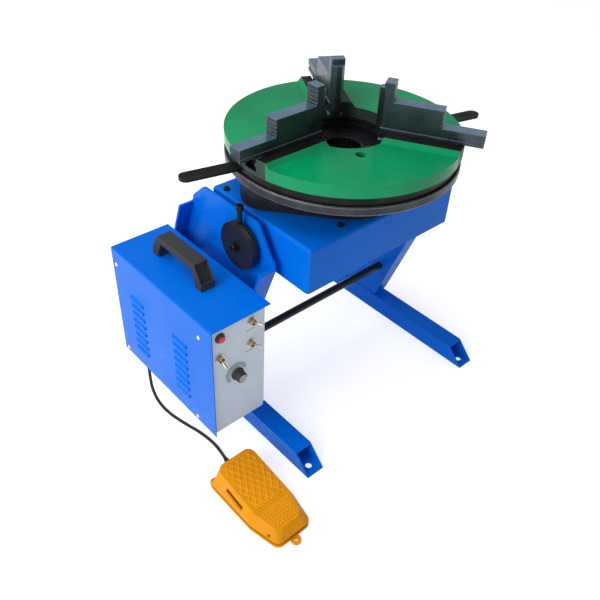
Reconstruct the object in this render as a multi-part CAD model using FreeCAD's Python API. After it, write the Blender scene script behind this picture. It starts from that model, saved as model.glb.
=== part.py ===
import FreeCAD, Part
import math
import os

# Welding positioner: a tilting, motor-driven turntable with a three-jaw scroll
# chuck, carried between two folded plates, with a control box and a foot pedal.
# Millimetres.  +Z is up, -Y is the side with the control panel, and X is the
# tilt axis.  The origin is on the floor, midway between the four anchor holes.

# ---------------------------------------------------------------- driving sizes
# Stand
foot_size = 38.0              # square tube, outside
foot_wall = 3.0
foot_half_length = 212.0
foot_end_slant = 37.0         # how far the slanted cut runs back at each tube end
anchor_hole_inset = 20.0      # from the tube's tip to the anchor hole
anchor_hole_radius = 6.0
plate_inner_x = 202.5         # inner face of each support plate
plate_thickness = 5.0
plate_flange_depth = 28.5
plate_corner_radius = 14.0
foot_inner_overhang = 2.0     # the tube's inner face stands this far inside the plate
plate_foot_rear_y = 150.0
plate_foot_front_y = 47.0
plate_shoulders = (           # the upper corners, y and z from the tilt axis, before rounding
    (-75.0, -12.0), (-61.0, 5.0), (-30.0, 52.0), (115.0, 51.0), (146.0, 22.0), (185.0, -86.0),
)
flange_end_front_drop = 19.0  # the bent flanges end here below the axis, above it the edge is plain
flange_end_rear_rise = 17.0
clear_of_plate = 50.0         # how far a cut runs on past the plate's outline
cross_rod_radius = 8.0
cross_rod_y = 45.0
cross_rod_z = 125.0

# Tilt axis
tilt_axis_y = 3.0
tilt_axis_z = 385.0
trunnion_radius = 15.0
trunnion_flange_radius = 34.0
trunnion_flange_thickness = 6.0
bearing_wall = 7.0
bearing_standoff = 7.5        # sleeve collar between a plate and its clamp ring
clamp_ring_radius = 42.0
clamp_ring_thickness = 8.5
end_plate_thickness = 2.5
end_plate_groove = 0.7        # shadow gap between a clamp ring and its end plate
end_plate_groove_depth = 3.0
end_screw_depth = 12.0
end_screw_washer_radius = 9.0
end_screw_washer_thickness = 1.6
end_screw_socket_radius = 3.4
lock_screw_radius = 4.0
lock_screw_stand = 25.0       # bare shank between the ring and the screw's head
lock_screw_head_radius = 6.5
lock_screw_head_height = 8.0

# Tilt box
box_left_x = -189.0
box_right_x = 160.0
box_front_y = -130.0
box_rear_y = 119.0
box_rise = 46.0               # top face above the tilt axis
box_drop = 38.0               # lower edge below the tilt axis
box_wall = 4.0
box_corner_radius = 6.0
box_cover_thickness = 3.0
box_bolt_places = ((-103.0, -107.0), (-177.0, 93.0), (103.0, -107.0), (130.0, 93.0))
bore_clearance = 2.0          # round the spindle where it passes a cover

# Gear housing and drive
housing_height = 48.0
housing_radius = 130.0
housing_lobe_radius = 48.0
housing_wall = 4.0
pinion_x = -134.0
pinion_y = 33.0
gear_module = 4.0
gear_teeth = 52
pinion_teeth = 17
gear_backlash = 0.5
gear_width = 16.0
gear_rise = 20.0              # gear's lower face above the tilt box
motor_radius = 38.0
motor_length = 66.0
motor_shaft_radius = 7.0
motor_shaft_depth = 12.0      # how deep the pinion's shaft goes into the gearbox
gearbox_length = 30.0
motor_can_radius = 31.0

# Spindle
spindle_bore_radius = 32.5
spindle_radius = 40.0
spindle_neck_radius = 50.0
bearing_outer_radius = 55.0
bearing_width = 14.0
sleeve_wall = 7.0
sleeve_depth = 30.0           # sleeve below the tilt box's top wall
sleeve_flange_radius = 75.0
sleeve_flange_thickness = 8.0

# Turntable and chuck
table_gap = 2.0               # housing lid to turntable
table_radius = 200.0
table_thickness = 15.0
table_edge_chamfer = 1.5
hub_inner_radius = 66.0
hub_outer_radius = 112.0
hub_height = 15.5
chuck_radius = 200.0
chuck_bore_radius = 80.5
sector_thickness = 20.5
rail_height = 8.0
rail_half_width = 32.3
rail_foot_half_width = 38.6
jaw_slot_half_width = 13.2
jaw_slot_depth = 22.0         # from the rail's top
guide_ridge_half_gap = 9.5
guide_ridge_low = 8.0         # ridge height above the slot's floor
guide_ridge_height = 7.0
chuck_screw_circle = 101.6
chuck_screw_radius = 5.0
chuck_screw_head_radius = 8.0
chuck_screw_head_height = 10.0

# Scroll
scroll_pitch = 10.0
scroll_start_radius = 117.0
scroll_turns = 7
scroll_ridge_width = 4.4
scroll_plate_radius = 195.0
scroll_rim_width = 5.0
scroll_base_thickness = 9.0
lever_tip_radius = 294.0
lever_root_radius = 166.0
lever_width = 24.0
lever_thickness = 6.0
lever_angle = 167.0

# Jaws
jaw_count = 3
first_jaw_angle = 60.0
jaw_half_width = 11.8
jaw_nose_radius = 53.3
jaw_tall_inner_radius = 61.8
jaw_tall_outer_radius = 78.5
jaw_mid_outer_radius = 160.0
jaw_tongue_inner_radius = 60.0
jaw_tongue_outer_radius = 188.0
jaw_end_radius = 229.5
jaw_low_height = 21.0         # each height is above the jaw's sliding face
jaw_mid_height = 50.0
jaw_nose_height = 70.5
jaw_tall_height = 80.5
jaw_groove_low = 5.0
jaw_groove_height = 5.6
jaw_groove_depth = 1.6
jaw_nose_half_width = 4.5
jaw_serrations = 4
jaw_serration_depth = 2.0
jaw_teeth = 3
jaw_tooth_half_width = 8.0
jaw_stop_pin_radius = 2.0
jaw_stop_pin_length = 4.0

# Control box
case_gap = 4.0                # left plate's flanges to the hood
case_width = 116.0
case_depth = 290.0
case_height = 235.0
case_front_y = -101.0
case_low_z = 103.0
case_sheet = 1.5
case_rear_recess = 4.0        # the chassis ends this far inside the hood
cover_edge_radius = 2.5
panel_recess = 5.0
panel_side_gap = 8.0          # cover's right wall to the chassis
louvre_rows = 8
louvre_length = 38.0
louvre_pitch = 16.5
louvre_height = 7.0
louvre_depth = 3.0
louvre_top_drop = 74.0        # top of the case to the top louvre
louvre_front_inset = 91.0
louvre_rear_inset = 70.0
cover_screw_front_inset = 34.0
cover_screw_rear_inset = 13.0
cover_screw_top_drop = 30.0
cover_screw_foot_rise = 9.0
cover_screw_foot_shift = 18.0 # the lower front screw sits this much further back
handle_length = 138.0
handle_width = 33.0
handle_rise = 44.0
handle_bar_height = 15.0
handle_front_inset = 162.0    # case front to the handle's middle
handle_slope = 22.0
handle_foot = 14.0
handle_wall = 3.0
handle_bolt_radius = 2.5
handle_bolt_inset = 5.5
handle_bolt_seat = 6.0        # plastic under each bolt's head
mount_pad_radius = 9.0
mount_pad_foot_rise = 47.0
mount_pad_front_drop = 53.0
mount_pad_rear_drop = 68.0
inlet_left_inset = 36.0
inlet_rise = 37.0
inlet_half_width = 14.0
inlet_half_height = 10.0
inlet_wall = 2.0
transformer_left_inset = 56.0
transformer_rear_inset = 99.0
core_half_width = 30.0
core_height = 50.0
core_yoke = 10.0
core_leg_half_width = 6.0
winding_gap = 1.0
board_left_inset = 16.0
board_front_inset = 31.0
board_width = 78.0
board_length = 100.0
board_thickness = 1.6
board_stand = 8.0

# Panel controls
panel_thickness = 2.0
panel_foot_rise = 11.0        # the panel's lower edge above the case's
button_tube_wall = 1.4
button_inset = (19.0, 21.0)   # each inset is from the case's left side and from its top
button_radius = 5.5
button_travel = 2.0
toggle_insets = ((81.0, 20.0), (79.0, 65.0), (17.0, 63.0))
toggle_leans = ((20.0, 0.0), (20.0, 0.0), (0.0, -25.0))
toggle_bushing_radius = 6.0
toggle_lever_length = 20.0
toggle_body_half = 6.5
toggle_neck_radius = 5.0
knob_inset = (49.0, 114.0)
knob_radius = 10.5
knob_length = 15.0
knob_flutes = 18
knob_shaft_radius = 3.0
knob_bush_radius = 4.0

# Foot pedal
pedal_centre_x = -334.5
pedal_half_width = 48.0       # at the foot of the drafted cover
pedal_rear_y = -106.0
pedal_length = 178.0
pedal_straight = 119.0        # from the rear, forward of this the plan narrows
pedal_front_half_width = 36.0
pedal_side_draft = 11.0       # how far the top is drawn in from the foot, each side
pedal_end_draft = 13.0
pedal_rear_height = 50.0
pedal_front_height = 28.0
pedal_corner_radius = 14.0
pedal_wall = 2.5
pedal_base_thickness = 5.0
pedal_lift = 12.0             # floor to the cover's lower edge
pedal_pin_inset = 22.0        # from the pedal's front end
pedal_pin_rise = 4.0          # above the cover's lower edge
pedal_pin_radius = 2.5
pedal_pin_half_length = 26.0
pedal_hinge_reach = 22.0      # middle of each hinge ear
pedal_hinge_step = 8.0        # from an ear's middle to its lug's middle
pedal_hinge_half_width = 3.0
pedal_ear_radius = 9.0
pedal_ear_hole_radius = 3.0
pedal_rear_ear = (-36.5, -7.0)          # from the middle, and from the rear or front end
pedal_front_ear = (-2.5, -6.0)
pedal_press_angle = 2.3
pedal_window_y = (-97.0, -48.0)         # from the pedal's rear
pedal_window_z = (13.0, 30.0)           # above the cover's lower edge
pedal_switch_y = (-104.0, -52.0)
pedal_switch_x = (-24.0, 10.0)          # from the pedal's middle
pedal_switch_height = 17.0
plunger_offset = (-8.0, -66.0)
plunger_radius = 3.0
spring_inset = 34.0
spring_wire_radius = 0.9
spring_coil_radius = 4.4
spring_turns = 6
strain_post_half_width = 5.0
strain_post_depth = 8.0

# Pedal cable
cable_radius = 3.0
cable_route = (
    (-346.0, 128.0, 94.0),
    (-346.0, 128.0, 62.0),
    (-345.5, 126.0, 28.0),
    (-345.0, 107.0, 5.5),
    (-344.0, 72.0, 3.0),
    (-335.0, 30.0, 3.0),
    (-325.0, -6.0, 3.0),
    (-321.0, -44.0, 3.0),
    (-327.0, -76.0, 9.0),
    (-334.0, -103.0, 16.0),
)

gland_wall = 2.0
gland_flange = 4.0            # flange radius beyond the cable's
gland_height = 6.0

# Fits and clearances
running_fit = 0.05
slide_clearance = 0.3
thread_fit = 0.05
weld_size = 5.0
screw_radius = 3.0
screw_head_radius = 5.2
screw_head_height = 5.0

# ------------------------------------------------------------- worked-out sizes
box_top_z = tilt_axis_z + box_rise
box_low_z = tilt_axis_z - box_drop
foot_centre_x = plate_inner_x - foot_inner_overhang + foot_size / 2
anchor_y = foot_half_length - anchor_hole_inset
plate_profile = [(plate_foot_rear_y, foot_size), (plate_foot_front_y, foot_size)]
plate_profile += [(tilt_axis_y + y, tilt_axis_z + z) for y, z in plate_shoulders]
ring_low_x = plate_inner_x + plate_thickness + bearing_standoff
ring_high_x = ring_low_x + clamp_ring_thickness
end_plate_low_x = ring_high_x + slide_clearance
end_plate_high_x = end_plate_low_x + end_plate_groove + end_plate_thickness
lock_screw_x = (ring_low_x + ring_high_x) / 2
lock_screw_tip_z = tilt_axis_z + trunnion_radius + slide_clearance
lock_screw_head_z = tilt_axis_z + clamp_ring_radius + lock_screw_stand
flange_face_x = plate_inner_x + plate_thickness + plate_flange_depth
housing_top_z = box_top_z + housing_height
table_low_z = housing_top_z + table_gap
table_top_z = table_low_z + table_thickness
chuck_low_z = table_top_z + hub_height
sector_z = chuck_low_z + sector_thickness
rail_z = sector_z + rail_height
slot_floor_z = rail_z - jaw_slot_depth
scroll_low_z = table_top_z + slide_clearance
scroll_face_z = scroll_low_z + scroll_base_thickness
ridge_top_z = chuck_low_z - slide_clearance
jaw_base_z = rail_z + 2 * slide_clearance
jaw_foot_z = slot_floor_z + slide_clearance
guide_low_z = slot_floor_z + guide_ridge_low
guide_high_z = guide_low_z + guide_ridge_height
gear_radius = gear_module * gear_teeth / 2
upper_bearing_z = box_top_z + sleeve_flange_thickness - bearing_width
lower_bearing_z = box_top_z - sleeve_depth
gear_low_z = box_top_z + gear_rise
pinion_direction = math.atan2(pinion_y, pinion_x)
case_right_x = -flange_face_x - case_gap
case_left_x = case_right_x - case_width
case_rear_y = case_front_y + case_depth
case_high_z = case_low_z + case_height
panel_y = case_front_y + panel_recess
chassis_right_x = case_right_x - panel_side_gap
chassis_left_x = case_left_x + case_sheet + slide_clearance
chassis_high_z = case_high_z - case_sheet - slide_clearance
chassis_rear_y = case_rear_y - case_rear_recess
chassis_floor_z = case_low_z + case_sheet
louvre_columns_y = (case_rear_y - louvre_rear_inset, case_front_y + louvre_front_inset)
handle_centre_x = case_left_x + case_width / 2
handle_centre_y = case_front_y + handle_front_inset
inlet_x = case_left_x + inlet_left_inset
inlet_z = case_low_z + inlet_rise
button_x = case_left_x + button_inset[0]
button_z = case_high_z - button_inset[1]
knob_x = case_left_x + knob_inset[0]
knob_z = case_high_z - knob_inset[1]
toggle_places = [(case_left_x + x, case_high_z - z) for x, z in toggle_insets]
pedal_front_y = pedal_rear_y - pedal_length
pedal_taper_y = pedal_rear_y - pedal_straight
pedal_pin_y = pedal_front_y + pedal_pin_inset
pedal_pin_z = pedal_lift + pedal_pin_rise
pedal_ears = [(pedal_centre_x + pedal_rear_ear[0], pedal_rear_y + pedal_rear_ear[1]),
              (pedal_centre_x + pedal_front_ear[0], pedal_front_y + pedal_front_ear[1])]
plunger_x = pedal_centre_x + plunger_offset[0]
plunger_y = pedal_rear_y + plunger_offset[1]
spring_y = pedal_rear_y - spring_inset
pedal_sink_per_reach = math.sin(math.radians(pedal_press_angle))
gland_neck_radius = cable_radius + gland_wall
strain_post_high_z = cable_route[-1][2] + strain_post_half_width
rim_inner_radius = scroll_plate_radius - scroll_rim_width
pressure_angle = math.radians(20.0)
jaw_angles = [first_jaw_angle + 360.0 / jaw_count * index for index in range(jaw_count)]

X_AXIS = FreeCAD.Vector(1, 0, 0)
Y_AXIS = FreeCAD.Vector(0, 1, 0)
Z_AXIS = FreeCAD.Vector(0, 0, 1)
ORIGIN = FreeCAD.Vector(0, 0, 0)


# ---------------------------------------------------------------------- helpers
def vec(x, y, z=0.0):
    return FreeCAD.Vector(x, y, z)


def block(x_low, x_high, y_low, y_high, z_low, z_high):
    return Part.makeBox(x_high - x_low, y_high - y_low, z_high - z_low, vec(x_low, y_low, z_low))


def rod_x(radius, x_low, x_high, y, z):
    return Part.makeCylinder(radius, x_high - x_low, vec(x_low, y, z), X_AXIS)


def rod_y(radius, y_low, y_high, x, z):
    return Part.makeCylinder(radius, y_high - y_low, vec(x, y_low, z), Y_AXIS)


def rod_z(radius, z_low, z_high, x=0.0, y=0.0):
    return Part.makeCylinder(radius, z_high - z_low, vec(x, y, z_low), Z_AXIS)


def ring_z(outer, inner, z_low, z_high, x=0.0, y=0.0):
    return rod_z(outer, z_low, z_high, x, y).cut(rod_z(inner, z_low - 1, z_high + 1, x, y))


def fused(shapes):
    first, rest = shapes[0], list(shapes[1:])
    return first.fuse(rest).removeSplitter() if rest else first


def at_yz(x):
    return lambda u, v: vec(x, u, v)


def at_xz(y):
    return lambda u, v: vec(u, y, v)


def at_xy(z):
    return lambda u, v: vec(u, v, z)


def sharp_wire(points, place):
    corners = [place(u, v) for u, v in points]
    return Part.makePolygon(corners + corners[:1])


def rounded_wire(points, radius, place):
    """Closed outline of lines, with each corner turned into an arc."""
    edges, last_end, first_start = [], None, None
    for index, (u, v) in enumerate(points):
        corner = vec(u, v)
        back = vec(*points[index - 1]) - corner
        ahead = vec(*points[(index + 1) % len(points)]) - corner
        half_turn = back.getAngle(ahead) / 2
        trim = min(radius / math.tan(half_turn), 0.48 * min(back.Length, ahead.Length))
        arc_radius = trim * math.tan(half_turn)
        back.normalize()
        ahead.normalize()
        inward = back + ahead
        inward.normalize()
        start = corner + back * trim
        end = corner + ahead * trim
        middle = corner + inward * (arc_radius / math.sin(half_turn) - arc_radius)
        if last_end is not None:
            edges.append(Part.LineSegment(place(*last_end), place(start.x, start.y)).toShape())
        else:
            first_start = (start.x, start.y)
        arc = Part.Arc(place(start.x, start.y), place(middle.x, middle.y), place(end.x, end.y))
        edges.append(arc.toShape())
        last_end = (end.x, end.y)
    edges.append(Part.LineSegment(place(*last_end), place(*first_start)).toShape())
    return Part.Wire(edges)


def inset_points(points, distance):
    """Convex outline with every side moved inward by the distance."""
    centre = vec(sum(u for u, v in points), sum(v for u, v in points)) * (1 / len(points))
    sides = []
    for index, (u, v) in enumerate(points):
        start = vec(u, v)
        along = vec(*points[(index + 1) % len(points)]) - start
        along.normalize()
        normal = vec(-along.y, along.x)
        if normal.dot(centre - start) < 0:
            normal = normal * -1
        sides.append((start + normal * distance, along))
    result = []
    for index in range(len(sides)):
        (p, a), (q, b) = sides[index - 1], sides[index]
        reach = ((q.x - p.x) * b.y - (q.y - p.y) * b.x) / (a.x * b.y - a.y * b.x)
        result.append((p.x + a.x * reach, p.y + a.y * reach))
    return result


def prism(wire, direction):
    return Part.Face(wire).extrude(direction)


def prism_x(points, x_low, x_high, radius=0.0):
    outline = rounded_wire(points, radius, at_yz(x_low)) if radius else sharp_wire(points, at_yz(x_low))
    return prism(outline, X_AXIS * (x_high - x_low))


def prism_y(points, y_low, y_high, radius=0.0):
    outline = rounded_wire(points, radius, at_xz(y_low)) if radius else sharp_wire(points, at_xz(y_low))
    return prism(outline, Y_AXIS * (y_high - y_low))


def prism_z(points, z_low, z_high, radius=0.0):
    outline = rounded_wire(points, radius, at_xy(z_low)) if radius else sharp_wire(points, at_xy(z_low))
    return prism(outline, Z_AXIS * (z_high - z_low))


def turned_z(profile, x=0.0, y=0.0):
    """Solid turned about a vertical axis; the profile is (radius, z)."""
    face = Part.Face(sharp_wire(profile, lambda u, v: vec(x + u, y, v)))
    return face.revolve(vec(x, y), Z_AXIS, 360)


def turned_x(profile, y, z):
    """Solid turned about an axis along X; the profile is (x, radius)."""
    face = Part.Face(sharp_wire(profile, lambda u, v: vec(u, y, z + v)))
    return face.revolve(vec(0, y, z), X_AXIS, 360)


def turned_y(profile, x, z):
    """Solid turned about an axis along Y; the profile is (y, radius)."""
    face = Part.Face(sharp_wire(profile, lambda u, v: vec(x, u, z + v)))
    return face.revolve(vec(x, 0, z), Y_AXIS, 360)


def mirrored_x(shape):
    return shape.mirror(ORIGIN, X_AXIS)


def turned_about_z(shape, degrees, x=0.0, y=0.0):
    copy = shape.copy()
    copy.rotate(vec(x, y), Z_AXIS, degrees)
    return copy


def around(shape, count, first=0.0):
    return [turned_about_z(shape, first + 360.0 / count * index) for index in range(count)]


def rounded_edges(shape, radius, chosen):
    return shape.makeFillet(radius, [edge for edge in shape.Edges if chosen(edge)])


def runs_along(edge, direction):
    if not isinstance(edge.Curve, Part.Line):
        return False
    return abs(abs(edge.tangentAt(edge.FirstParameter).dot(direction)) - 1) < 1e-6


def cap_screw_z(x, y, seat_z, shank, radius=screw_radius, head=screw_head_radius,
                head_height=screw_head_height):
    """Socket cap screw pointing down, its head resting on seat_z."""
    body = turned_z([(0, seat_z - shank), (radius, seat_z - shank), (radius, seat_z), (head, seat_z),
                     (head, seat_z + head_height - 0.8), (head - 0.8, seat_z + head_height),
                     (0, seat_z + head_height)], x, y)
    return body.cut(hexagon_z(head * 0.5, seat_z + head_height * 0.45, seat_z + head_height + 1, x, y))


def hexagon_z(radius, z_low, z_high, x=0.0, y=0.0):
    points = [(x + radius * math.cos(math.radians(60 * k)), y + radius * math.sin(math.radians(60 * k)))
              for k in range(6)]
    return prism_z(points, z_low, z_high)


# ------------------------------------------------------------------------ stand
def foot_tube(side):
    half = foot_size / 2
    profile = [(-foot_half_length, 0.0), (foot_half_length, 0.0),
               (foot_half_length - foot_end_slant, foot_size), (foot_end_slant - foot_half_length, foot_size)]
    tube = prism_x(profile, -half, half)
    hollow = block(foot_wall - half, half - foot_wall, -foot_half_length - 1, foot_half_length + 1,
                   foot_wall, foot_size - foot_wall)
    tube = tube.cut(hollow)
    for y in (-anchor_y, anchor_y):
        tube = tube.cut(rod_z(anchor_hole_radius, -1, foot_wall + 1, 0, y))
    tube.translate(vec(side * foot_centre_x, 0))
    return tube


def support_plate():
    """The plate on the +X side: a web with its front and rear edges bent outward."""
    web_face = plate_inner_x + plate_thickness
    outline = rounded_wire(plate_profile, plate_corner_radius, at_yz(plate_inner_x))
    plate = prism(outline, X_AXIS * (flange_face_x - plate_inner_x))
    inner = inset_points(plate_profile, plate_thickness)
    (rear_y, foot_z), (front_y, _) = inner[0], inner[1]
    hollow = prism_x(inner, web_face, flange_face_x + 1, plate_corner_radius - plate_thickness)
    open_foot = block(web_face, flange_face_x + 1, front_y, rear_y, foot_size - 1,
                      foot_z + 2 * plate_thickness)
    front, rear = plate_profile[2][0] - clear_of_plate, plate_profile[7][0] + clear_of_plate
    high = plate_profile[4][1] + clear_of_plate
    plain_top = prism_x([(front, tilt_axis_z - flange_end_front_drop),
                         (rear, tilt_axis_z + flange_end_rear_rise), (rear, high), (front, high)],
                        web_face, flange_face_x + 1)
    plate = plate.cut([hollow, open_foot, plain_top])
    bore = rod_x(trunnion_radius + bearing_wall, plate_inner_x - 1, web_face + 1, tilt_axis_y, tilt_axis_z)
    rod_hole = rod_x(cross_rod_radius, plate_inner_x - 1, web_face + 1, cross_rod_y, cross_rod_z)
    plate = plate.cut([bore, rod_hole])
    weld = prism_y([(web_face, foot_size), (web_face + weld_size, foot_size),
                    (web_face, foot_size + weld_size)], front_y, rear_y)
    return plate.fuse(weld)


def cross_rod():
    reach = plate_inner_x + plate_thickness
    return rod_x(cross_rod_radius, -reach, reach, cross_rod_y, cross_rod_z)


def bearing_flange(outer_end):
    """Flanged bush welded into the +X plate; it carries a trunnion."""
    web_face = plate_inner_x + plate_thickness
    bore = trunnion_radius + running_fit
    outer = trunnion_radius + bearing_wall
    profile = [(plate_inner_x, bore), (plate_inner_x, outer), (web_face, outer),
               (web_face, outer + bearing_wall), (web_face + bearing_standoff, outer + bearing_wall),
               (web_face + bearing_standoff, outer), (outer_end, outer), (outer_end, bore)]
    return turned_x(profile, tilt_axis_y, tilt_axis_z)


def clamp_ring():
    bore = trunnion_radius + bearing_wall
    chamfer = 1.2
    profile = [(ring_low_x, bore), (ring_low_x, clamp_ring_radius - chamfer),
               (ring_low_x + chamfer, clamp_ring_radius), (ring_high_x - chamfer, clamp_ring_radius),
               (ring_high_x, clamp_ring_radius - chamfer), (ring_high_x, bore)]
    return turned_x(profile, tilt_axis_y, tilt_axis_z)


def lock_screw_hole():
    return rod_z(lock_screw_radius + thread_fit, lock_screw_tip_z - 5, lock_screw_head_z, lock_screw_x,
                 tilt_axis_y)


def tilt_lock_screw():
    shank = lock_screw_head_z - lock_screw_tip_z
    return cap_screw_z(lock_screw_x, tilt_axis_y, lock_screw_head_z, shank, lock_screw_radius,
                       lock_screw_head_radius, lock_screw_head_height)


# -------------------------------------------------------------------- tilt head
def tilt_box_shell():
    outer = block(box_left_x, box_right_x, box_front_y, box_rear_y, box_low_z, box_top_z)
    outer = rounded_edges(outer, box_corner_radius,
                          lambda edge: runs_along(edge, Z_AXIS) or edge.CenterOfMass.z > box_top_z - 1)
    hollow = block(box_left_x + box_wall, box_right_x - box_wall, box_front_y + box_wall,
                   box_rear_y - box_wall, box_low_z - 1, box_top_z - box_wall)
    sleeve_hole = rod_z(bearing_outer_radius + sleeve_wall, box_low_z, box_top_z + 1)
    motor_hole = rod_z(motor_shaft_radius + bore_clearance, box_low_z, box_top_z + 1, pinion_x, pinion_y)
    trunnions = rod_x(trunnion_radius, box_left_x - 1, box_right_x + 1, tilt_axis_y, tilt_axis_z)
    bolts = [rod_z(screw_radius, box_low_z, box_top_z + 1, x, y) for x, y in box_bolt_places]
    return outer.cut([hollow, sleeve_hole, motor_hole, trunnions] + bolts)


def box_top_bolts():
    return Part.makeCompound([cap_screw_z(x, y, box_top_z, box_wall + 6, screw_radius)
                              for x, y in box_bolt_places])


def tilt_box_cover():
    cover = block(box_left_x + box_wall, box_right_x - box_wall, box_front_y + box_wall,
                  box_rear_y - box_wall, box_low_z, box_low_z + box_cover_thickness)
    return cover.cut(rod_z(spindle_bore_radius + bore_clearance, box_low_z - 1, box_top_z))


def trunnion(side):
    """Stub shaft welded through a side wall of the tilt box, with a flange inside."""
    wall_x = box_right_x if side > 0 else -box_left_x
    inner = wall_x - box_wall - trunnion_flange_thickness
    profile = [(inner, 0), (inner, trunnion_flange_radius), (wall_x - box_wall, trunnion_flange_radius),
               (wall_x - box_wall, trunnion_radius), (end_plate_low_x, trunnion_radius), (end_plate_low_x, 0)]
    shaft = turned_x(profile, tilt_axis_y, tilt_axis_z)
    tapped = rod_x(lock_screw_radius, end_plate_low_x - end_screw_depth, end_plate_low_x + 1,
                   tilt_axis_y, tilt_axis_z)
    shaft = shaft.cut(tapped)
    return shaft if side > 0 else mirrored_x(shaft)


def hub_end_plate():
    groove = clamp_ring_radius - end_plate_groove_depth
    profile = [(end_plate_low_x, lock_screw_radius), (end_plate_low_x, groove),
               (end_plate_high_x - end_plate_thickness, groove),
               (end_plate_high_x - end_plate_thickness, clamp_ring_radius),
               (end_plate_high_x - 0.6, clamp_ring_radius), (end_plate_high_x, clamp_ring_radius - 0.6),
               (end_plate_high_x, lock_screw_radius)]
    return turned_x(profile, tilt_axis_y, tilt_axis_z)


def end_plate_screw():
    """Hexagon socket screw with a plain washer under its head."""
    seat = end_plate_high_x + end_screw_washer_thickness
    tip, head = end_plate_low_x - end_screw_depth, seat + lock_screw_head_height
    profile = [(tip, 0), (tip, lock_screw_radius), (end_plate_high_x, lock_screw_radius),
               (end_plate_high_x, end_screw_washer_radius), (seat, end_screw_washer_radius),
               (seat, lock_screw_head_radius), (head - 1, lock_screw_head_radius),
               (head, lock_screw_head_radius - 1), (head, 0)]
    screw = turned_x(profile, tilt_axis_y, tilt_axis_z)
    socket = hexagon_z(end_screw_socket_radius, 0, lock_screw_head_height)
    socket.rotate(ORIGIN, Y_AXIS, 90)
    socket.translate(vec(seat + lock_screw_head_height / 2, tilt_axis_y, tilt_axis_z))
    return screw.cut(socket)


def pear_outline(grow):
    """Outline around the main gear's circle and the pinion's lobe."""
    large, small = housing_radius + grow, housing_lobe_radius + grow
    distance = math.hypot(pinion_x, pinion_y)
    swing = math.acos((large - small) / distance)

    def on(radius, centre, angle):
        return (centre[0] + radius * math.cos(angle), centre[1] + radius * math.sin(angle))

    lobe = (pinion_x, pinion_y)
    upper, lower = pinion_direction + swing, pinion_direction - swing
    a, b = on(large, (0, 0), upper), on(large, (0, 0), lower)
    c, d = on(small, lobe, lower), on(small, lobe, upper)
    far = on(large, (0, 0), pinion_direction + math.pi)
    tip = on(small, lobe, pinion_direction)

    def wire(z):
        place = at_xy(z)
        edges = [Part.Arc(place(*a), place(*far), place(*b)).toShape(),
                 Part.LineSegment(place(*b), place(*c)).toShape(),
                 Part.Arc(place(*c), place(*tip), place(*d)).toShape(),
                 Part.LineSegment(place(*d), place(*a)).toShape()]
        return Part.Wire(edges)
    return wire


def gear_housing():
    outer = prism(pear_outline(0)(box_top_z), Z_AXIS * housing_height)
    outer = rounded_edges(outer, 1.5, lambda edge: edge.BoundBox.ZMin > housing_top_z - 1)
    hollow = prism(pear_outline(-housing_wall)(box_top_z - 1), Z_AXIS * (housing_height - housing_wall + 1))
    neck_hole = rod_z(spindle_neck_radius + bore_clearance, box_top_z, housing_top_z + 1)
    return outer.cut([hollow, neck_hole])


def bearing_sleeve():
    outer = bearing_outer_radius + sleeve_wall
    low = box_top_z - sleeve_depth
    high = box_top_z + sleeve_flange_thickness
    profile = [(bearing_outer_radius, low), (outer, low), (outer, box_top_z),
               (sleeve_flange_radius, box_top_z), (sleeve_flange_radius, high), (bearing_outer_radius, high)]
    return turned_z(profile)


def bearing(z_low):
    """One sealed ball bearing as a plain ring with shield grooves."""
    inner = spindle_radius + running_fit
    land = 4.0
    sunk = 0.8
    high = z_low + bearing_width
    profile = [(inner, z_low), (inner + land, z_low), (inner + land, z_low + sunk),
               (bearing_outer_radius - land, z_low + sunk), (bearing_outer_radius - land, z_low),
               (bearing_outer_radius, z_low), (bearing_outer_radius, high),
               (bearing_outer_radius - land, high), (bearing_outer_radius - land, high - sunk),
               (inner + land, high - sunk), (inner + land, high), (inner, high)]
    return turned_z(profile)


def gearmotor():
    top = box_top_z - box_wall
    gearbox = top - gearbox_length
    low = top - motor_length
    can = motor_can_radius
    profile = [(0, low), (can - 2, low), (can, low + 2), (can, gearbox), (motor_radius, gearbox),
               (motor_radius, top), (0, top)]
    body = turned_z(profile, pinion_x, pinion_y)
    return body.cut(rod_z(motor_shaft_radius + running_fit, top - motor_shaft_depth, top + 1,
                          pinion_x, pinion_y))


# -------------------------------------------------------------------- turntable
def hollow_spindle():
    low = lower_bearing_z - 10
    seat = gear_low_z + gear_width
    shoulder_low = upper_bearing_z + bearing_width + slide_clearance
    shoulder = spindle_radius + 6
    profile = [(spindle_bore_radius, low), (spindle_radius, low), (spindle_radius, shoulder_low),
               (shoulder, shoulder_low), (shoulder, gear_low_z), (spindle_radius, gear_low_z),
               (spindle_radius, seat),
               (spindle_neck_radius, seat), (spindle_neck_radius, table_low_z),
               (spindle_bore_radius, table_low_z)]
    tapped = [rod_z(screw_radius, table_low_z - 12, table_low_z + 1, x, y) for x, y in spindle_screw_places()]
    return turned_z(profile).cut(tapped)


def spindle_nut():
    low = lower_bearing_z - 10
    return ring_z(spindle_neck_radius, spindle_radius, low, lower_bearing_z - slide_clearance)


def involute(angle):
    return math.tan(angle) - angle


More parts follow.
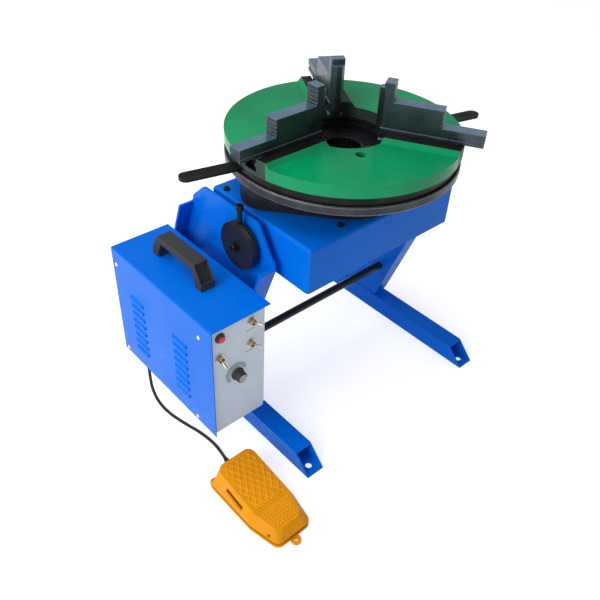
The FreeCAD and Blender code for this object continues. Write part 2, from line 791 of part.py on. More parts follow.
def gear_face_wire(teeth, first_tooth, z, centre):
    """Outline of a spur gear; first_tooth is the direction of one tooth's middle."""
    pitch = gear_module * teeth / 2
    base = pitch * math.cos(pressure_angle)
    root, tip = pitch - 1.25 * gear_module, pitch + gear_module
    half_at_pitch = math.pi / (2 * teeth) - gear_backlash / (4 * pitch)
    flank = []
    for radius in (max(root, base + 0.05), pitch, tip):
        lean = math.acos(min(1.0, base / radius))
        flank.append((radius, half_at_pitch + involute(pressure_angle) - involute(lean)))
    flank.insert(0, (root, flank[0][1]))
    points = []
    for tooth in range(teeth):
        middle = first_tooth + 2 * math.pi * tooth / teeth
        sides = [(radius, middle - half) for radius, half in flank]
        sides += [(radius, middle + half) for radius, half in reversed(flank)]
        points += [(centre[0] + radius * math.cos(angle), centre[1] + radius * math.sin(angle))
                   for radius, angle in sides]
    return sharp_wire(points, at_xy(z))


def spindle_gear():
    blank = prism(gear_face_wire(gear_teeth, pinion_direction, gear_low_z, (0, 0)), Z_AXIS * gear_width)
    web_low, web_high = spindle_radius + 14, gear_radius - 14
    recess = 4.0
    cuts = [rod_z(spindle_radius, gear_low_z - 1, gear_low_z + gear_width + 1),
            ring_z(web_high, web_low, gear_low_z - 1, gear_low_z + recess),
            ring_z(web_high, web_low, gear_low_z + gear_width - recess, gear_low_z + gear_width + 1)]
    return blank.cut(cuts)


def drive_pinion():
    first = pinion_direction + math.pi + math.pi / pinion_teeth
    low = gear_low_z - 2
    blank = prism(gear_face_wire(pinion_teeth, first, low, (pinion_x, pinion_y)), Z_AXIS * (gear_width + 4))
    shaft = rod_z(motor_shaft_radius, box_top_z - box_wall - motor_shaft_depth + 1, low + gear_width + 6,
                  pinion_x, pinion_y)
    return fused([blank, shaft])


def table_disc():
    chamfer = table_edge_chamfer
    profile = [(spindle_bore_radius, table_low_z), (table_radius - chamfer, table_low_z),
               (table_radius, table_low_z + chamfer), (table_radius, table_top_z - chamfer),
               (table_radius - chamfer, table_top_z), (spindle_bore_radius, table_top_z)]
    disc = turned_z(profile)
    seat = table_top_z - screw_head_height - 1
    cuts = [rod_z(screw_radius, table_low_z - 1, table_top_z, x, y) for x, y in spindle_screw_places()]
    cuts += [rod_z(screw_head_radius + 0.3, seat, table_top_z + 1, x, y) for x, y in spindle_screw_places()]
    tapped = rod_z(chuck_screw_radius, table_low_z - 1, table_top_z + 1, chuck_screw_circle)
    return disc.cut(cuts + around(tapped, jaw_count))


def spindle_screw_places():
    circle = (spindle_bore_radius + spindle_neck_radius) / 2
    angles = [math.radians(30 + 60 * index) for index in range(6)]
    return [(circle * math.cos(angle), circle * math.sin(angle)) for angle in angles]


def spindle_screws():
    seat = table_top_z - screw_head_height - 1
    shank = seat - table_low_z + 10
    return Part.makeCompound([cap_screw_z(x, y, seat, shank) for x, y in spindle_screw_places()])


# ------------------------------------------------------------------------ chuck
def chuck_hub():
    step = 8.0
    profile = [(hub_inner_radius, table_top_z), (hub_outer_radius, table_top_z),
               (hub_outer_radius, chuck_low_z), (hub_inner_radius + step, chuck_low_z),
               (hub_inner_radius + step, chuck_low_z - 5), (hub_inner_radius, chuck_low_z - 5)]
    hole = rod_z(chuck_screw_radius, table_top_z - 1, chuck_low_z + 1, chuck_screw_circle)
    return turned_z(profile).cut(around(hole, jaw_count))


def jaw_slot(shape_profile):
    """A radial channel: the cross-section (s, z) run outward along +X from the centre."""
    return prism_x(shape_profile, 0, chuck_radius + 10)


def chuck_body():
    body = rod_z(chuck_radius, chuck_low_z, sector_z)
    rail = jaw_slot([(-rail_foot_half_width, sector_z - 1), (rail_foot_half_width, sector_z - 1),
                     (rail_foot_half_width, sector_z), (rail_half_width, rail_z), (-rail_half_width, rail_z),
                     (-rail_foot_half_width, sector_z)])
    rails = [piece.common(rod_z(chuck_radius, chuck_low_z, rail_z + 1)) for piece in
             around(rail, jaw_count, first_jaw_angle)]
    body = fused([body] + rails)
    wide, narrow = jaw_slot_half_width, guide_ridge_half_gap
    slot = jaw_slot([(-wide, slot_floor_z), (wide, slot_floor_z), (wide, guide_low_z), (narrow, guide_low_z),
                     (narrow, guide_high_z), (wide, guide_high_z), (wide, rail_z + 1), (-wide, rail_z + 1),
                     (-wide, guide_high_z), (-narrow, guide_high_z), (-narrow, guide_low_z),
                     (-wide, guide_low_z)])
    floor_slot = block(hub_outer_radius + 1, rim_inner_radius - 0.7, -jaw_tooth_half_width - 1,
                       jaw_tooth_half_width + 1, chuck_low_z - 1, slot_floor_z + 1)
    cuts = [rod_z(chuck_bore_radius, chuck_low_z - 1, rail_z + 1)]
    cuts += around(slot, jaw_count, first_jaw_angle)
    cuts += around(floor_slot, jaw_count, first_jaw_angle)
    screw_hole = rod_z(chuck_screw_radius, chuck_low_z - 1, sector_z + 1, chuck_screw_circle)
    counterbore = rod_z(chuck_screw_head_radius + 0.5, chuck_low_z + 5, sector_z + 1, chuck_screw_circle)
    cuts += around(screw_hole.fuse(counterbore), jaw_count)
    return body.cut(cuts)


def chuck_screws():
    seat = chuck_low_z + 5
    shank = seat - table_low_z - 2
    screw = cap_screw_z(chuck_screw_circle, 0, seat, shank, chuck_screw_radius, chuck_screw_head_radius,
                        chuck_screw_head_height)
    return Part.makeCompound(around(screw, jaw_count))


def spiral_points(radius, turn):
    """Start, middle and end of one eighth of a turn of a spiral."""
    result = []
    for part in (0.0, 0.0625, 0.125):
        angle = 2 * math.pi * (turn + part)
        reach = radius + scroll_pitch * (turn + part)
        result.append(vec(reach * math.cos(angle), reach * math.sin(angle), scroll_face_z - 1))
    return result


def spiral_ridge():
    """The scroll: a flat-sided spiral ridge that climbs one pitch each turn."""
    inner = scroll_start_radius - scroll_ridge_width / 2
    outer = scroll_start_radius + scroll_ridge_width / 2
    steps = [index / 8 for index in range(8 * scroll_turns)]
    in_edges = [Part.Arc(*spiral_points(inner, turn)).toShape() for turn in steps]
    out_edges = [Part.Arc(*spiral_points(outer, turn)).toShape() for turn in steps]
    first = Part.LineSegment(spiral_points(inner, 0)[0], spiral_points(outer, 0)[0]).toShape()
    last = Part.LineSegment(spiral_points(inner, steps[-1])[2], spiral_points(outer, steps[-1])[2]).toShape()
    outline = Part.Wire(in_edges + [last] + out_edges[::-1] + [first])
    return prism(outline, Z_AXIS * (ridge_top_z - scroll_face_z + 1))


def lever_bar():
    """Flat handle bar along +X with a round end."""
    half = lever_width / 2
    z = scroll_low_z + 1.7
    bar = block(lever_root_radius, lever_tip_radius - half, -half, half, z, z + lever_thickness)
    return fused([bar, rod_z(half, z, z + lever_thickness, lever_tip_radius - half)])


def scroll_plate():
    profile = [(hub_outer_radius + running_fit, scroll_low_z), (scroll_plate_radius, scroll_low_z),
               (scroll_plate_radius, ridge_top_z), (rim_inner_radius, ridge_top_z),
               (rim_inner_radius, scroll_face_z), (hub_outer_radius + running_fit, scroll_face_z)]
    plate = turned_z(profile).fuse(spiral_ridge())
    bars = [turned_about_z(lever_bar(), lever_angle + half_turn) for half_turn in (0, 180)]
    return plate.cut(bars)


# ------------------------------------------------------------------------- jaws
def serrated_rise(radius, low, high):
    """Outward face of a jaw step, with saw grooves from low to high."""
    pitch = (high - low) / (jaw_serrations + 0.5)
    points = [(radius, low)]
    for index in range(jaw_serrations):
        z = low + pitch * (index + 0.5)
        points += [(radius, z), (radius - jaw_serration_depth, z + 0.25 * pitch), (radius, z + 0.5 * pitch)]
    return points + [(radius, high)]


def jaw(index):
    """One stepped jaw, built along +X and turned to its slot; index sets its tooth offset."""
    low, mid = jaw_base_z + jaw_low_height, jaw_base_z + jaw_mid_height
    nose, tall = jaw_base_z + jaw_nose_height, jaw_base_z + jaw_tall_height
    under = guide_high_z + slide_clearance
    side = [(jaw_nose_radius, under), (jaw_tongue_outer_radius, under), (jaw_tongue_outer_radius, jaw_base_z),
            (jaw_end_radius, jaw_base_z), (jaw_end_radius, low)]
    side += serrated_rise(jaw_mid_outer_radius, low, mid)
    side += serrated_rise(jaw_tall_outer_radius, mid, tall)
    side += [(jaw_tall_inner_radius, tall), (jaw_tall_inner_radius, nose), (jaw_nose_radius, nose)]
    width = jaw_half_width
    body = prism(sharp_wire(side, lambda u, v: vec(u, -width, v)), Y_AXIS * (2 * width))
    nose_end, nose_half = jaw_tall_inner_radius + 2, jaw_nose_half_width
    plan = [(jaw_nose_radius, -nose_half), (nose_end, -width), (jaw_end_radius, -width),
            (jaw_end_radius, width), (nose_end, width), (jaw_nose_radius, nose_half)]
    body = body.common(prism_z(plan, slot_floor_z, tall + 1))
    groove_z = jaw_base_z + jaw_groove_low
    for sign in (-1, 1):
        near, far = sorted((sign * (width - jaw_groove_depth), sign * (width + 1)))
        body = body.cut(block(jaw_nose_radius - 1, jaw_end_radius + 1, near, far, groove_z,
                              groove_z + jaw_groove_height))
    foot = jaw_slot_half_width - slide_clearance
    neck = guide_ridge_half_gap - slide_clearance
    shoulder = guide_low_z - slide_clearance
    tongue = [(-foot, jaw_foot_z), (foot, jaw_foot_z), (foot, shoulder), (neck, shoulder),
              (neck, guide_high_z + 1), (-neck, guide_high_z + 1), (-neck, shoulder), (-foot, shoulder)]
    tongue = prism_x(tongue, jaw_tongue_inner_radius, jaw_tongue_outer_radius)
    pieces = [body, tongue]
    turn = jaw_angles[index] / 360
    for tooth in range(1, jaw_teeth + 1):
        radius = scroll_start_radius + scroll_pitch * (turn + tooth + 0.5)
        half = scroll_ridge_width / 2
        arc = ring_z(radius + half, radius - half, scroll_face_z + slide_clearance, jaw_foot_z + 1)
        pieces.append(arc.common(block(0, radius + half, -jaw_tooth_half_width, jaw_tooth_half_width,
                                       scroll_low_z, jaw_foot_z + 2)))
    pin_radius = (jaw_tongue_outer_radius + jaw_end_radius) / 2 + 2
    pieces.append(rod_z(jaw_stop_pin_radius, jaw_base_z - jaw_stop_pin_length, jaw_base_z + 1, pin_radius))
    return turned_about_z(fused(pieces), jaw_angles[index])


# ------------------------------------------------------------------ control box
def case_cover():
    """Folded sheet hood: two side walls and a top, with pressed louvres."""
    outer = block(case_left_x, case_right_x, case_front_y, case_rear_y, case_low_z, case_high_z)
    outer = rounded_edges(outer, cover_edge_radius,
                          lambda edge: runs_along(edge, Y_AXIS) and edge.CenterOfMass.z > case_high_z - 1)
    inner = block(case_left_x + case_sheet, case_right_x - case_sheet, case_front_y - 1, case_rear_y + 1,
                  case_low_z - 1, case_high_z - case_sheet)
    cover = outer.cut(inner)
    slots, hoods = [], []
    for y in louvre_columns_y:
        for row in range(louvre_rows):
            low = case_high_z - louvre_top_drop - louvre_pitch * row - louvre_height
            slots.append(block(case_left_x - 1, case_left_x + case_sheet + 1, y - louvre_length / 2 + 1,
                               y + louvre_length / 2 - 1, low, low + louvre_height - 2))
            hoods.append(louvre_hood(y, low))
    standoffs = [rod_x(mount_pad_radius + 1.5, case_right_x - case_sheet - 1, case_right_x + 1, y, z)
                 for y, z in mount_pad_places()]
    bolts = [rod_z(handle_bolt_radius, case_high_z - case_sheet - 1, case_high_z + 1, handle_centre_x, y)
             for y in handle_bolt_places()]
    return fused([cover.cut(slots + standoffs + bolts)] + hoods)


def louvre_hood(y, low):
    """A pressed hood over one slot: closed at the top and ends, open downward."""
    face, lip = case_left_x, case_left_x - louvre_depth
    high = low + louvre_height
    skin = 1.0
    outer = prism_y([(face, low), (lip, low), (lip, low + 1.5), (face, high)], y - louvre_length / 2,
                    y + louvre_length / 2)
    inner = prism_y([(face, low - 1), (lip + skin, low - 1), (lip + skin, low + 1.5), (face, high - 2)],
                    y - louvre_length / 2 + skin, y + louvre_length / 2 - skin)
    return outer.cut(inner)


def mount_pad_places():
    """Centres of the stand-offs, on the middle of the left plate's bent flanges."""
    places = []
    half = plate_thickness / 2
    for first, second, drop, inward in ((plate_profile[1], plate_profile[2], mount_pad_front_drop, half),
                                        (plate_profile[0], plate_profile[7], mount_pad_rear_drop, -half)):
        (y0, z0), (y1, z1) = first, second
        for z in (case_low_z + mount_pad_foot_rise, case_high_z - drop):
            places.append((y0 + (y1 - y0) * (z - z0) / (z1 - z0) + inward, z))
    return places


def case_mounts():
    reach = -flange_face_x
    return Part.makeCompound([rod_x(mount_pad_radius, chassis_right_x, reach, y, z)
                              for y, z in mount_pad_places()])


def case_chassis():
    """Tray inside the hood: floor, right wall, front and rear."""
    front_y = panel_y + panel_thickness
    outer = block(chassis_left_x, chassis_right_x, front_y, chassis_rear_y, case_low_z, chassis_high_z)
    inner = block(chassis_left_x - 1, chassis_right_x - case_sheet, front_y + case_sheet,
                  chassis_rear_y - case_sheet, chassis_floor_z, chassis_high_z + 1)
    holes = [rod_y(radius, front_y - 1, front_y + case_sheet + 1, x, z) for x, z, radius in panel_holes()]
    gland_hole = rod_z(gland_neck_radius, case_low_z - 1, chassis_floor_z + 1, *cable_route[0][:2])
    inlet = block(inlet_x - inlet_half_width, inlet_x + inlet_half_width, chassis_rear_y - 2 * case_sheet,
                  chassis_rear_y + 1, inlet_z - inlet_half_height, inlet_z + inlet_half_height)
    return outer.cut([inner, gland_hole, inlet] + holes)


def panel_holes():
    holes = [(button_x, button_z, button_radius + button_tube_wall + thread_fit)]
    holes.append((knob_x, knob_z, knob_bush_radius))
    return holes + [(x, z, toggle_neck_radius) for x, z in toggle_places]


def front_panel():
    panel = block(chassis_left_x, chassis_right_x, panel_y, panel_y + panel_thickness,
                  case_low_z + panel_foot_rise, chassis_high_z)
    return panel.cut([rod_y(radius, panel_y - 1, panel_y + panel_thickness + 1, x, z)
                      for x, z, radius in panel_holes()])


def carry_handle():
    half, z, slope, foot = handle_length / 2, case_high_z, handle_slope, handle_foot
    front, rear = handle_centre_y - half, handle_centre_y + half
    outer = [(front, z), (rear, z), (rear, z + foot), (rear - slope, z + handle_rise),
             (front + slope, z + handle_rise), (front, z + foot)]
    left, right = handle_centre_x - handle_width / 2, handle_centre_x + handle_width / 2
    grip = prism_x(outer, left, right, 4.0)
    inner_low, inner_top = half - handle_bar_height - 3, half - slope - handle_bar_height * 0.55
    opening = [(handle_centre_y - inner_low, z - 20), (handle_centre_y + inner_low, z - 20),
               (handle_centre_y + inner_low, z + foot * 0.7),
               (handle_centre_y + inner_top, z + handle_rise - handle_bar_height),
               (handle_centre_y - inner_top, z + handle_rise - handle_bar_height),
               (handle_centre_y - inner_low, z + foot * 0.7)]
    grip = grip.cut(prism_x(opening, left - 1, right + 1, 5.0))
    grip = grip.cut([rod_z(handle_bolt_radius, z - 1, z + foot, handle_centre_x, y)
                     for y in handle_bolt_places()])
    wall = handle_wall
    for sign in (-1, 1):
        end = handle_centre_y + sign * half
        near, far = sorted((end + sign, end - sign * (handle_bar_height - 1)))
        seat = z + handle_bolt_seat
        pocket = [(near, seat), (far, seat), (far, z + handle_rise), (near, z + handle_rise)]
        cavity = prism_x(pocket, left + wall, right - wall)
        grip = grip.cut(cavity.common(prism_x(handle_pocket_outline(sign), left, right)))
    return grip


def handle_pocket_outline(sign):
    """Band just inside one sloping end of the handle, kept clear of the grip bar."""
    half, z = handle_length / 2, case_high_z
    end = handle_centre_y + sign * half
    return [(end + sign * 2, z + 4), (end + sign * 2, z + 14), (end - sign * 18, z + handle_rise - 6),
            (end - sign * 24, z + handle_rise - 14), (end - sign * 12, z + 12), (end - sign * 10, z + 4)]


def handle_bolt_places():
    reach = handle_length / 2 - handle_bolt_inset
    return [handle_centre_y - reach, handle_centre_y + reach]


def handle_bolts():
    seat = case_high_z + handle_bolt_seat
    shank, head = handle_bolt_seat + case_sheet + 4, 4.0
    return Part.makeCompound([cap_screw_z(handle_centre_x, y, seat, shank, handle_bolt_radius, head, head)
                              for y in handle_bolt_places()])


def cover_screws():
    """Pan-head screws that hold the hood to its chassis."""
    screws = []
    head = [(0, 0), (0, 4.0), (-1.2, 3.6), (-2.2, 1.8), (-2.2, 0)]
    front, rear = case_front_y + cover_screw_front_inset, case_rear_y - cover_screw_rear_inset
    high, low = case_high_z - cover_screw_top_drop, case_low_z + cover_screw_foot_rise
    for y, z in ((rear, high), (front, high), (rear, low), (front + cover_screw_foot_shift, low)):
        screws.append(turned_x([(case_left_x + u, v) for u, v in head], y, z))
    for y in (rear, front + cover_screw_foot_shift):
        profile = [(case_right_x - u, v) for u, v in head]
        screws.append(turned_x(profile, y, case_high_z - cover_screw_top_drop / 2))
    return Part.makeCompound(screws)


def toggle_switch(x, z):
    """Fixed part of a toggle switch: body behind the panel, neck, nut and bushing."""
    pivot = panel_y - 2
    mouth = panel_y - 8
    half = toggle_body_half
    body = block(x - half, x + half, panel_y + 6, panel_y + 24, z - half, z + half)
    neck = rod_y(toggle_neck_radius, mouth + 3, panel_y + 7, x, z)
    bushing = rod_y(toggle_bushing_radius, mouth, mouth + 4, x, z)
    nut = hexagon_z(8.5, 0, 2.2)
    nut.rotate(ORIGIN, X_AXIS, 90)
    nut.translate(vec(x, panel_y, z))
    throat = turned_y([(pivot + 4, 0), (pivot + 4, 3.4), (pivot, 3.4), (mouth - 0.5, 5.2),
                       (mouth - 0.5, 0)], x, z)
    return fused([body, neck, bushing, nut]).cut(throat)


def toggle_lever(x, z, lean_x, lean_z):
    """Bat lever on its pivot ball, leaning from the panel's normal by the two angles."""
    pivot = panel_y - 2
    tip = -toggle_lever_length
    bat = turned_y([(1.5, 0), (1.5, 1.2), (0, 2.6), (-2.6, 1.5), (tip + 2, 2.5), (tip + 0.6, 2.0),
                    (tip, 0)], 0, 0)
    bat.rotate(ORIGIN, Z_AXIS, lean_x)
    bat.rotate(ORIGIN, X_AXIS, -lean_z)
    bat.translate(vec(x, pivot, z))
    return bat


def button_switch():
    bezel = [(panel_y, button_radius + running_fit), (panel_y, button_radius + 3.5),
             (panel_y - 2.5, button_radius + 3.0), (panel_y - 4.0, button_radius + button_tube_wall),
             (panel_y - 4.0, button_radius + running_fit)]
    ring = turned_y(bezel, button_x, button_z)
    tube = rod_y(button_radius + button_tube_wall, panel_y, panel_y + 22, button_x, button_z)
    bore = rod_y(button_radius + running_fit, panel_y - 1, panel_y + 10, button_x, button_z)
    return fused([ring, tube.cut(bore)])


def button_cap():
    front = panel_y - 4.0 - button_travel - 2.5
    profile = [(panel_y + 6, 0), (panel_y + 6, button_radius), (front + 1.2, button_radius),
               (front + 0.3, button_radius - 1.0), (front, 0)]
    return turned_y(profile, button_x, button_z)


def speed_potentiometer():
    body = rod_y(8.0, panel_y + 5, panel_y + 16, knob_x, knob_z)
    neck = rod_y(knob_bush_radius, panel_y - 3, panel_y + 6, knob_x, knob_z)
    nut = hexagon_z(6.5, 0, 2.0)
    nut.rotate(ORIGIN, X_AXIS, 90)
    nut.translate(vec(knob_x, panel_y, knob_z))
    bore = rod_y(knob_shaft_radius + running_fit, panel_y - 4, panel_y + 12, knob_x, knob_z)
    return fused([body, neck, nut]).cut(bore)


def speed_knob():
    """Fluted knob with a skirt and its shaft."""
    back = panel_y - 2 - 1.5
    front = back - knob_length
    profile = [(back, 0), (back, knob_radius + 1.5), (back - 1.5, knob_radius + 1.5), (back - 4, knob_radius),
               (front + 1, knob_radius - 1.2), (front, knob_radius - 2.2), (front, 0)]
    knob = turned_y(profile, knob_x, knob_z)
    knob = knob.cut(rod_y(7.0, back - 1.5, back + 1, knob_x, knob_z))
    flutes = []
    for index in range(knob_flutes):
        angle = 2 * math.pi * index / knob_flutes
        reach = knob_radius + 0.5
        flutes.append(rod_y(1.0, front - 1, back - 4, knob_x + reach * math.cos(angle),
                            knob_z + reach * math.sin(angle)))
    shaft = rod_y(knob_shaft_radius, back - 5, panel_y + 11, knob_x, knob_z)
    return fused([knob.cut(flutes), shaft])


def transformer():
    """Laminated core with its winding, on the chassis floor."""
    floor, half = chassis_floor_z, core_half_width
    x, y = case_left_x + transformer_left_inset, case_rear_y - transformer_rear_inset
    inner = half - core_yoke - winding_gap * 2
    core = block(x - half, x + half, y - half, y + half, floor, floor + core_height)
    window = block(x - half - 1, x + half + 1, y - inner, y + inner, floor + core_yoke,
                   floor + core_height - core_yoke)
    winding = block(x - half + 4, x + half - 4, y - inner - 6, y + inner + 6,
                    floor + core_yoke + winding_gap, floor + core_height - core_yoke - winding_gap)
    leg = block(x - half, x + half, y - core_leg_half_width, y + core_leg_half_width,
                floor + core_yoke - 1, floor + core_height - core_yoke + 1)
    return fused([core.cut(window), winding, leg])


def control_board():
    """Speed-control board standing on pillars, with its larger parts."""
    x, y = case_left_x + board_left_inset, case_front_y + board_front_inset
    low = chassis_floor_z + board_stand
    high = low + board_thickness
    board = block(x, x + board_width, y, y + board_length, low, high)
    pillars = [rod_z(2.5, chassis_floor_z, low, x + u, y + v) for u in (5, board_width - 5)
               for v in (5, board_length - 5)]
    capacitors = [rod_z(8, high, high + 24, x + u, y + 20) for u in (15, 35)]
    heat_sink = block(x + 50, x + 70, y + 10, y + 70, high, high + 22)
    relay = block(x + 5, x + 25, y + 60, y + 85, high, high + 14)
    return fused([board] + pillars + capacitors + [heat_sink, relay])


def power_inlet():
    wide, tall, back = inlet_half_width, inlet_half_height, chassis_rear_y
    body = block(inlet_x - wide, inlet_x + wide, back - 18, back + 2.5, inlet_z - tall, inlet_z + tall)
    wide, tall = wide - inlet_wall, tall - inlet_wall
    recess = block(inlet_x - wide, inlet_x + wide, back - 13, back + 3, inlet_z - tall, inlet_z + tall)
    pins = [block(inlet_x + offset - 1, inlet_x + offset + 1, back - 14, back - 1, inlet_z - 2 + rise,
                  inlet_z + 2 + rise) for offset, rise in ((-7, -2), (0, 2), (7, -2))]
    return fused([body.cut(recess)] + pins)


def cable_gland(x, y, low_z):
    bore, neck, flange = cable_radius, gland_neck_radius, cable_radius + gland_flange
    high = chassis_floor_z + gland_height
    profile = [(bore, low_z), (neck + 0.5, low_z), (flange, low_z + 3), (flange, case_low_z),
               (neck, case_low_z), (neck, chassis_floor_z), (flange, chassis_floor_z), (flange, high),
               (bore, high)]
    return turned_z(profile, x, y)


# ------------------------------------------------------------------- foot pedal
def pedal_top_height(y):
    slope = (pedal_rear_height - pedal_front_height) / (pedal_length - 2 * pedal_end_draft)
    return pedal_rear_height - slope * (pedal_rear_y - pedal_end_draft - y)


def pedal_sink(y):
    """How far the cover goes down at y when it is pressed fully."""
    return (y - pedal_pin_y) * pedal_sink_per_reach


def pedal_plan(half_width, front_half_width, rear, front):
    x, taper = pedal_centre_x, pedal_taper_y
    return [(x - half_width, rear), (x - half_width, taper), (x - front_half_width, front),
            (x + front_half_width, front), (x + half_width, taper), (x + half_width, rear)]


def pedal_shell(inset, lower_z, drop):
    """Drafted pedal form: lofted from its foot outline to its sloping top outline."""
    foot = pedal_plan(pedal_half_width - inset, pedal_front_half_width - inset, pedal_rear_y - inset,
                      pedal_front_y + inset)
    draft = pedal_side_draft + inset
    rear, front = pedal_rear_y - pedal_end_draft - inset, pedal_front_y + pedal_end_draft + inset
    top = pedal_plan(pedal_half_width - draft, pedal_front_half_width - draft, rear, front)

    def sloped(u, v):
        return vec(u, v, pedal_top_height(v) - drop)

    lower = rounded_wire(foot, pedal_corner_radius, at_xy(lower_z))
    upper = rounded_wire(top, pedal_corner_radius, sloped)
    return Part.makeLoft([lower, upper], True, True)


def pedal_cover():
    outer = pedal_shell(0, pedal_lift, 0)
    inner = pedal_shell(pedal_wall, pedal_lift - 1, pedal_wall)
    cover = outer.cut(inner)
    window = block(pedal_centre_x - pedal_half_width - 2, pedal_centre_x - pedal_half_width / 2,
                   pedal_rear_y + pedal_window_y[0], pedal_rear_y + pedal_window_y[1],
                   pedal_lift + pedal_window_z[0], pedal_lift + pedal_window_z[1])
    ears = [hinge_block(sign * pedal_hinge_reach, 6, pedal_pin_z - 4, pedal_pin_z + 14) for sign in (-1, 1)]
    ears = [ear.common(outer) for ear in ears]
    pin = rod_x(pedal_pin_radius + running_fit, pedal_centre_x - pedal_half_width,
                pedal_centre_x + pedal_half_width, pedal_pin_y, pedal_pin_z)
    cable_x, notch_half = cable_route[-1][0], strain_post_half_width + 2
    notch_high = strain_post_high_z + pedal_sink(pedal_rear_y) + 2
    cable_notch = block(cable_x - notch_half, cable_x + notch_half, pedal_rear_y - strain_post_depth - 4,
                        pedal_rear_y + 1, pedal_lift - 1, notch_high)
    ear_recess = rod_z(pedal_ear_radius + 1.5, 0, pedal_rear_height, *pedal_ears[0])
    return fused([cover] + ears).cut([window, pin, cable_notch, ear_recess])


def hinge_block(offset, half_length, z_low, z_high):
    """Lug or ear of the hinge, centred on the pin, at an offset from the pedal's middle."""
    x, half = pedal_centre_x + offset, pedal_hinge_half_width
    return block(x - half, x + half, pedal_pin_y - half_length, pedal_pin_y + half_length, z_low, z_high)


def pedal_base():
    """Moulded base plate with fixing ears, hinge lugs and the switch's bed."""
    plan = pedal_plan(pedal_half_width, pedal_front_half_width, pedal_rear_y, pedal_front_y)
    top, cable_x = pedal_base_thickness, cable_route[-1][0]
    plate = prism_z(plan, 0, top, pedal_corner_radius)
    ears = [rod_z(pedal_ear_radius, 0, top, x, y) for x, y in pedal_ears]
    lug_offset = pedal_hinge_reach - pedal_hinge_step
    lugs = [hinge_block(sign * lug_offset, 5, top - 1, pedal_pin_z + 5) for sign in (-1, 1)]
    pin_hole = rod_x(pedal_pin_radius, pedal_centre_x - pedal_half_width, pedal_centre_x + pedal_half_width,
                     pedal_pin_y, pedal_pin_z)
    lugs = [lug.cut(pin_hole) for lug in lugs]
    post_rear = pedal_rear_y - 2
    post = block(cable_x - strain_post_half_width, cable_x + strain_post_half_width,
                 post_rear - strain_post_depth, post_rear, top - 1, strain_post_high_z)
    post = post.cut(rod_y(cable_radius, pedal_front_y, post_rear + 1, cable_x, cable_route[-1][2]))
    cup_bore = spring_coil_radius + spring_wire_radius + 0.4
    spring_cup = ring_z(cup_bore + 1.8, cup_bore, top - 1, top + 4, pedal_centre_x, spring_y)
    holes = [rod_z(pedal_ear_hole_radius, -1, top + 1, x, y) for x, y in pedal_ears]
    return fused([plate] + ears + lugs + [post, spring_cup]).cut(holes)


def pedal_pin():
    return rod_x(pedal_pin_radius, pedal_centre_x - pedal_pin_half_length,
                 pedal_centre_x + pedal_pin_half_length, pedal_pin_y, pedal_pin_z)


def pedal_switch():
    """Snap-action switch with its plunger, in a black housing."""
    top = pedal_base_thickness + pedal_switch_height
    body = block(pedal_centre_x + pedal_switch_x[0], pedal_centre_x + pedal_switch_x[1],
                 pedal_rear_y + pedal_switch_y[0], pedal_rear_y + pedal_switch_y[1],
                 pedal_base_thickness, top)
    inner_height = pedal_top_height(plunger_y) - pedal_wall
    plunger = rod_z(plunger_radius, top - 1, inner_height - pedal_sink(plunger_y) - 2 * slide_clearance,
                    plunger_x, plunger_y)
    return fused([body, plunger])


def pedal_spring():
    """Coil return spring between the base and the cover."""
    wire, coil = spring_wire_radius, spring_coil_radius
    low = pedal_base_thickness + wire
    high = pedal_top_height(spring_y - coil) - pedal_wall - 3 * wire - slide_clearance
    rings = []
    for index in range(spring_turns + 1):
        z = low + (high - low) * index / spring_turns
        rings.append(Part.makeTorus(coil, wire, vec(pedal_centre_x, spring_y, z)))
    return Part.makeCompound(rings)


# ------------------------------------------------------------------ pedal cable
def cable():
    """Round cable along its route: straight runs joined by tangent arcs."""
    points = [vec(*point) for point in cable_route]
    edges, last_end, length = [], points[0], 0.0
    for before, corner, after in zip(points, points[1:], points[2:]):
        back, ahead = before - corner, after - corner
        half_angle = back.getAngle(ahead) / 2
        trim = 0.45 * min(back.Length, ahead.Length)
        radius = trim * math.tan(half_angle)
        print("cable bend radius", round(radius, 1))
        back.normalize()
        ahead.normalize()
        inward = back + ahead
        inward.normalize()
        start, end = corner + back * trim, corner + ahead * trim
        middle = corner + inward * (radius / math.sin(half_angle) - radius)
        edges.append(Part.LineSegment(last_end, start).toShape())
        edges.append(Part.Arc(start, middle, end).toShape())
        last_end = end
    edges.append(Part.LineSegment(last_end, points[-1]).toShape())
    path = Part.Wire(edges)
    profile = Part.Wire([Part.Circle(points[0], points[1] - points[0], cable_radius).toShape()])
    tube = path.makePipeShell([profile], True, False)
    print("cable length", round(path.Length, 1), "volume ratio",
          round(tube.Volume / (path.Length * math.pi * cable_radius ** 2), 4))
    return tube


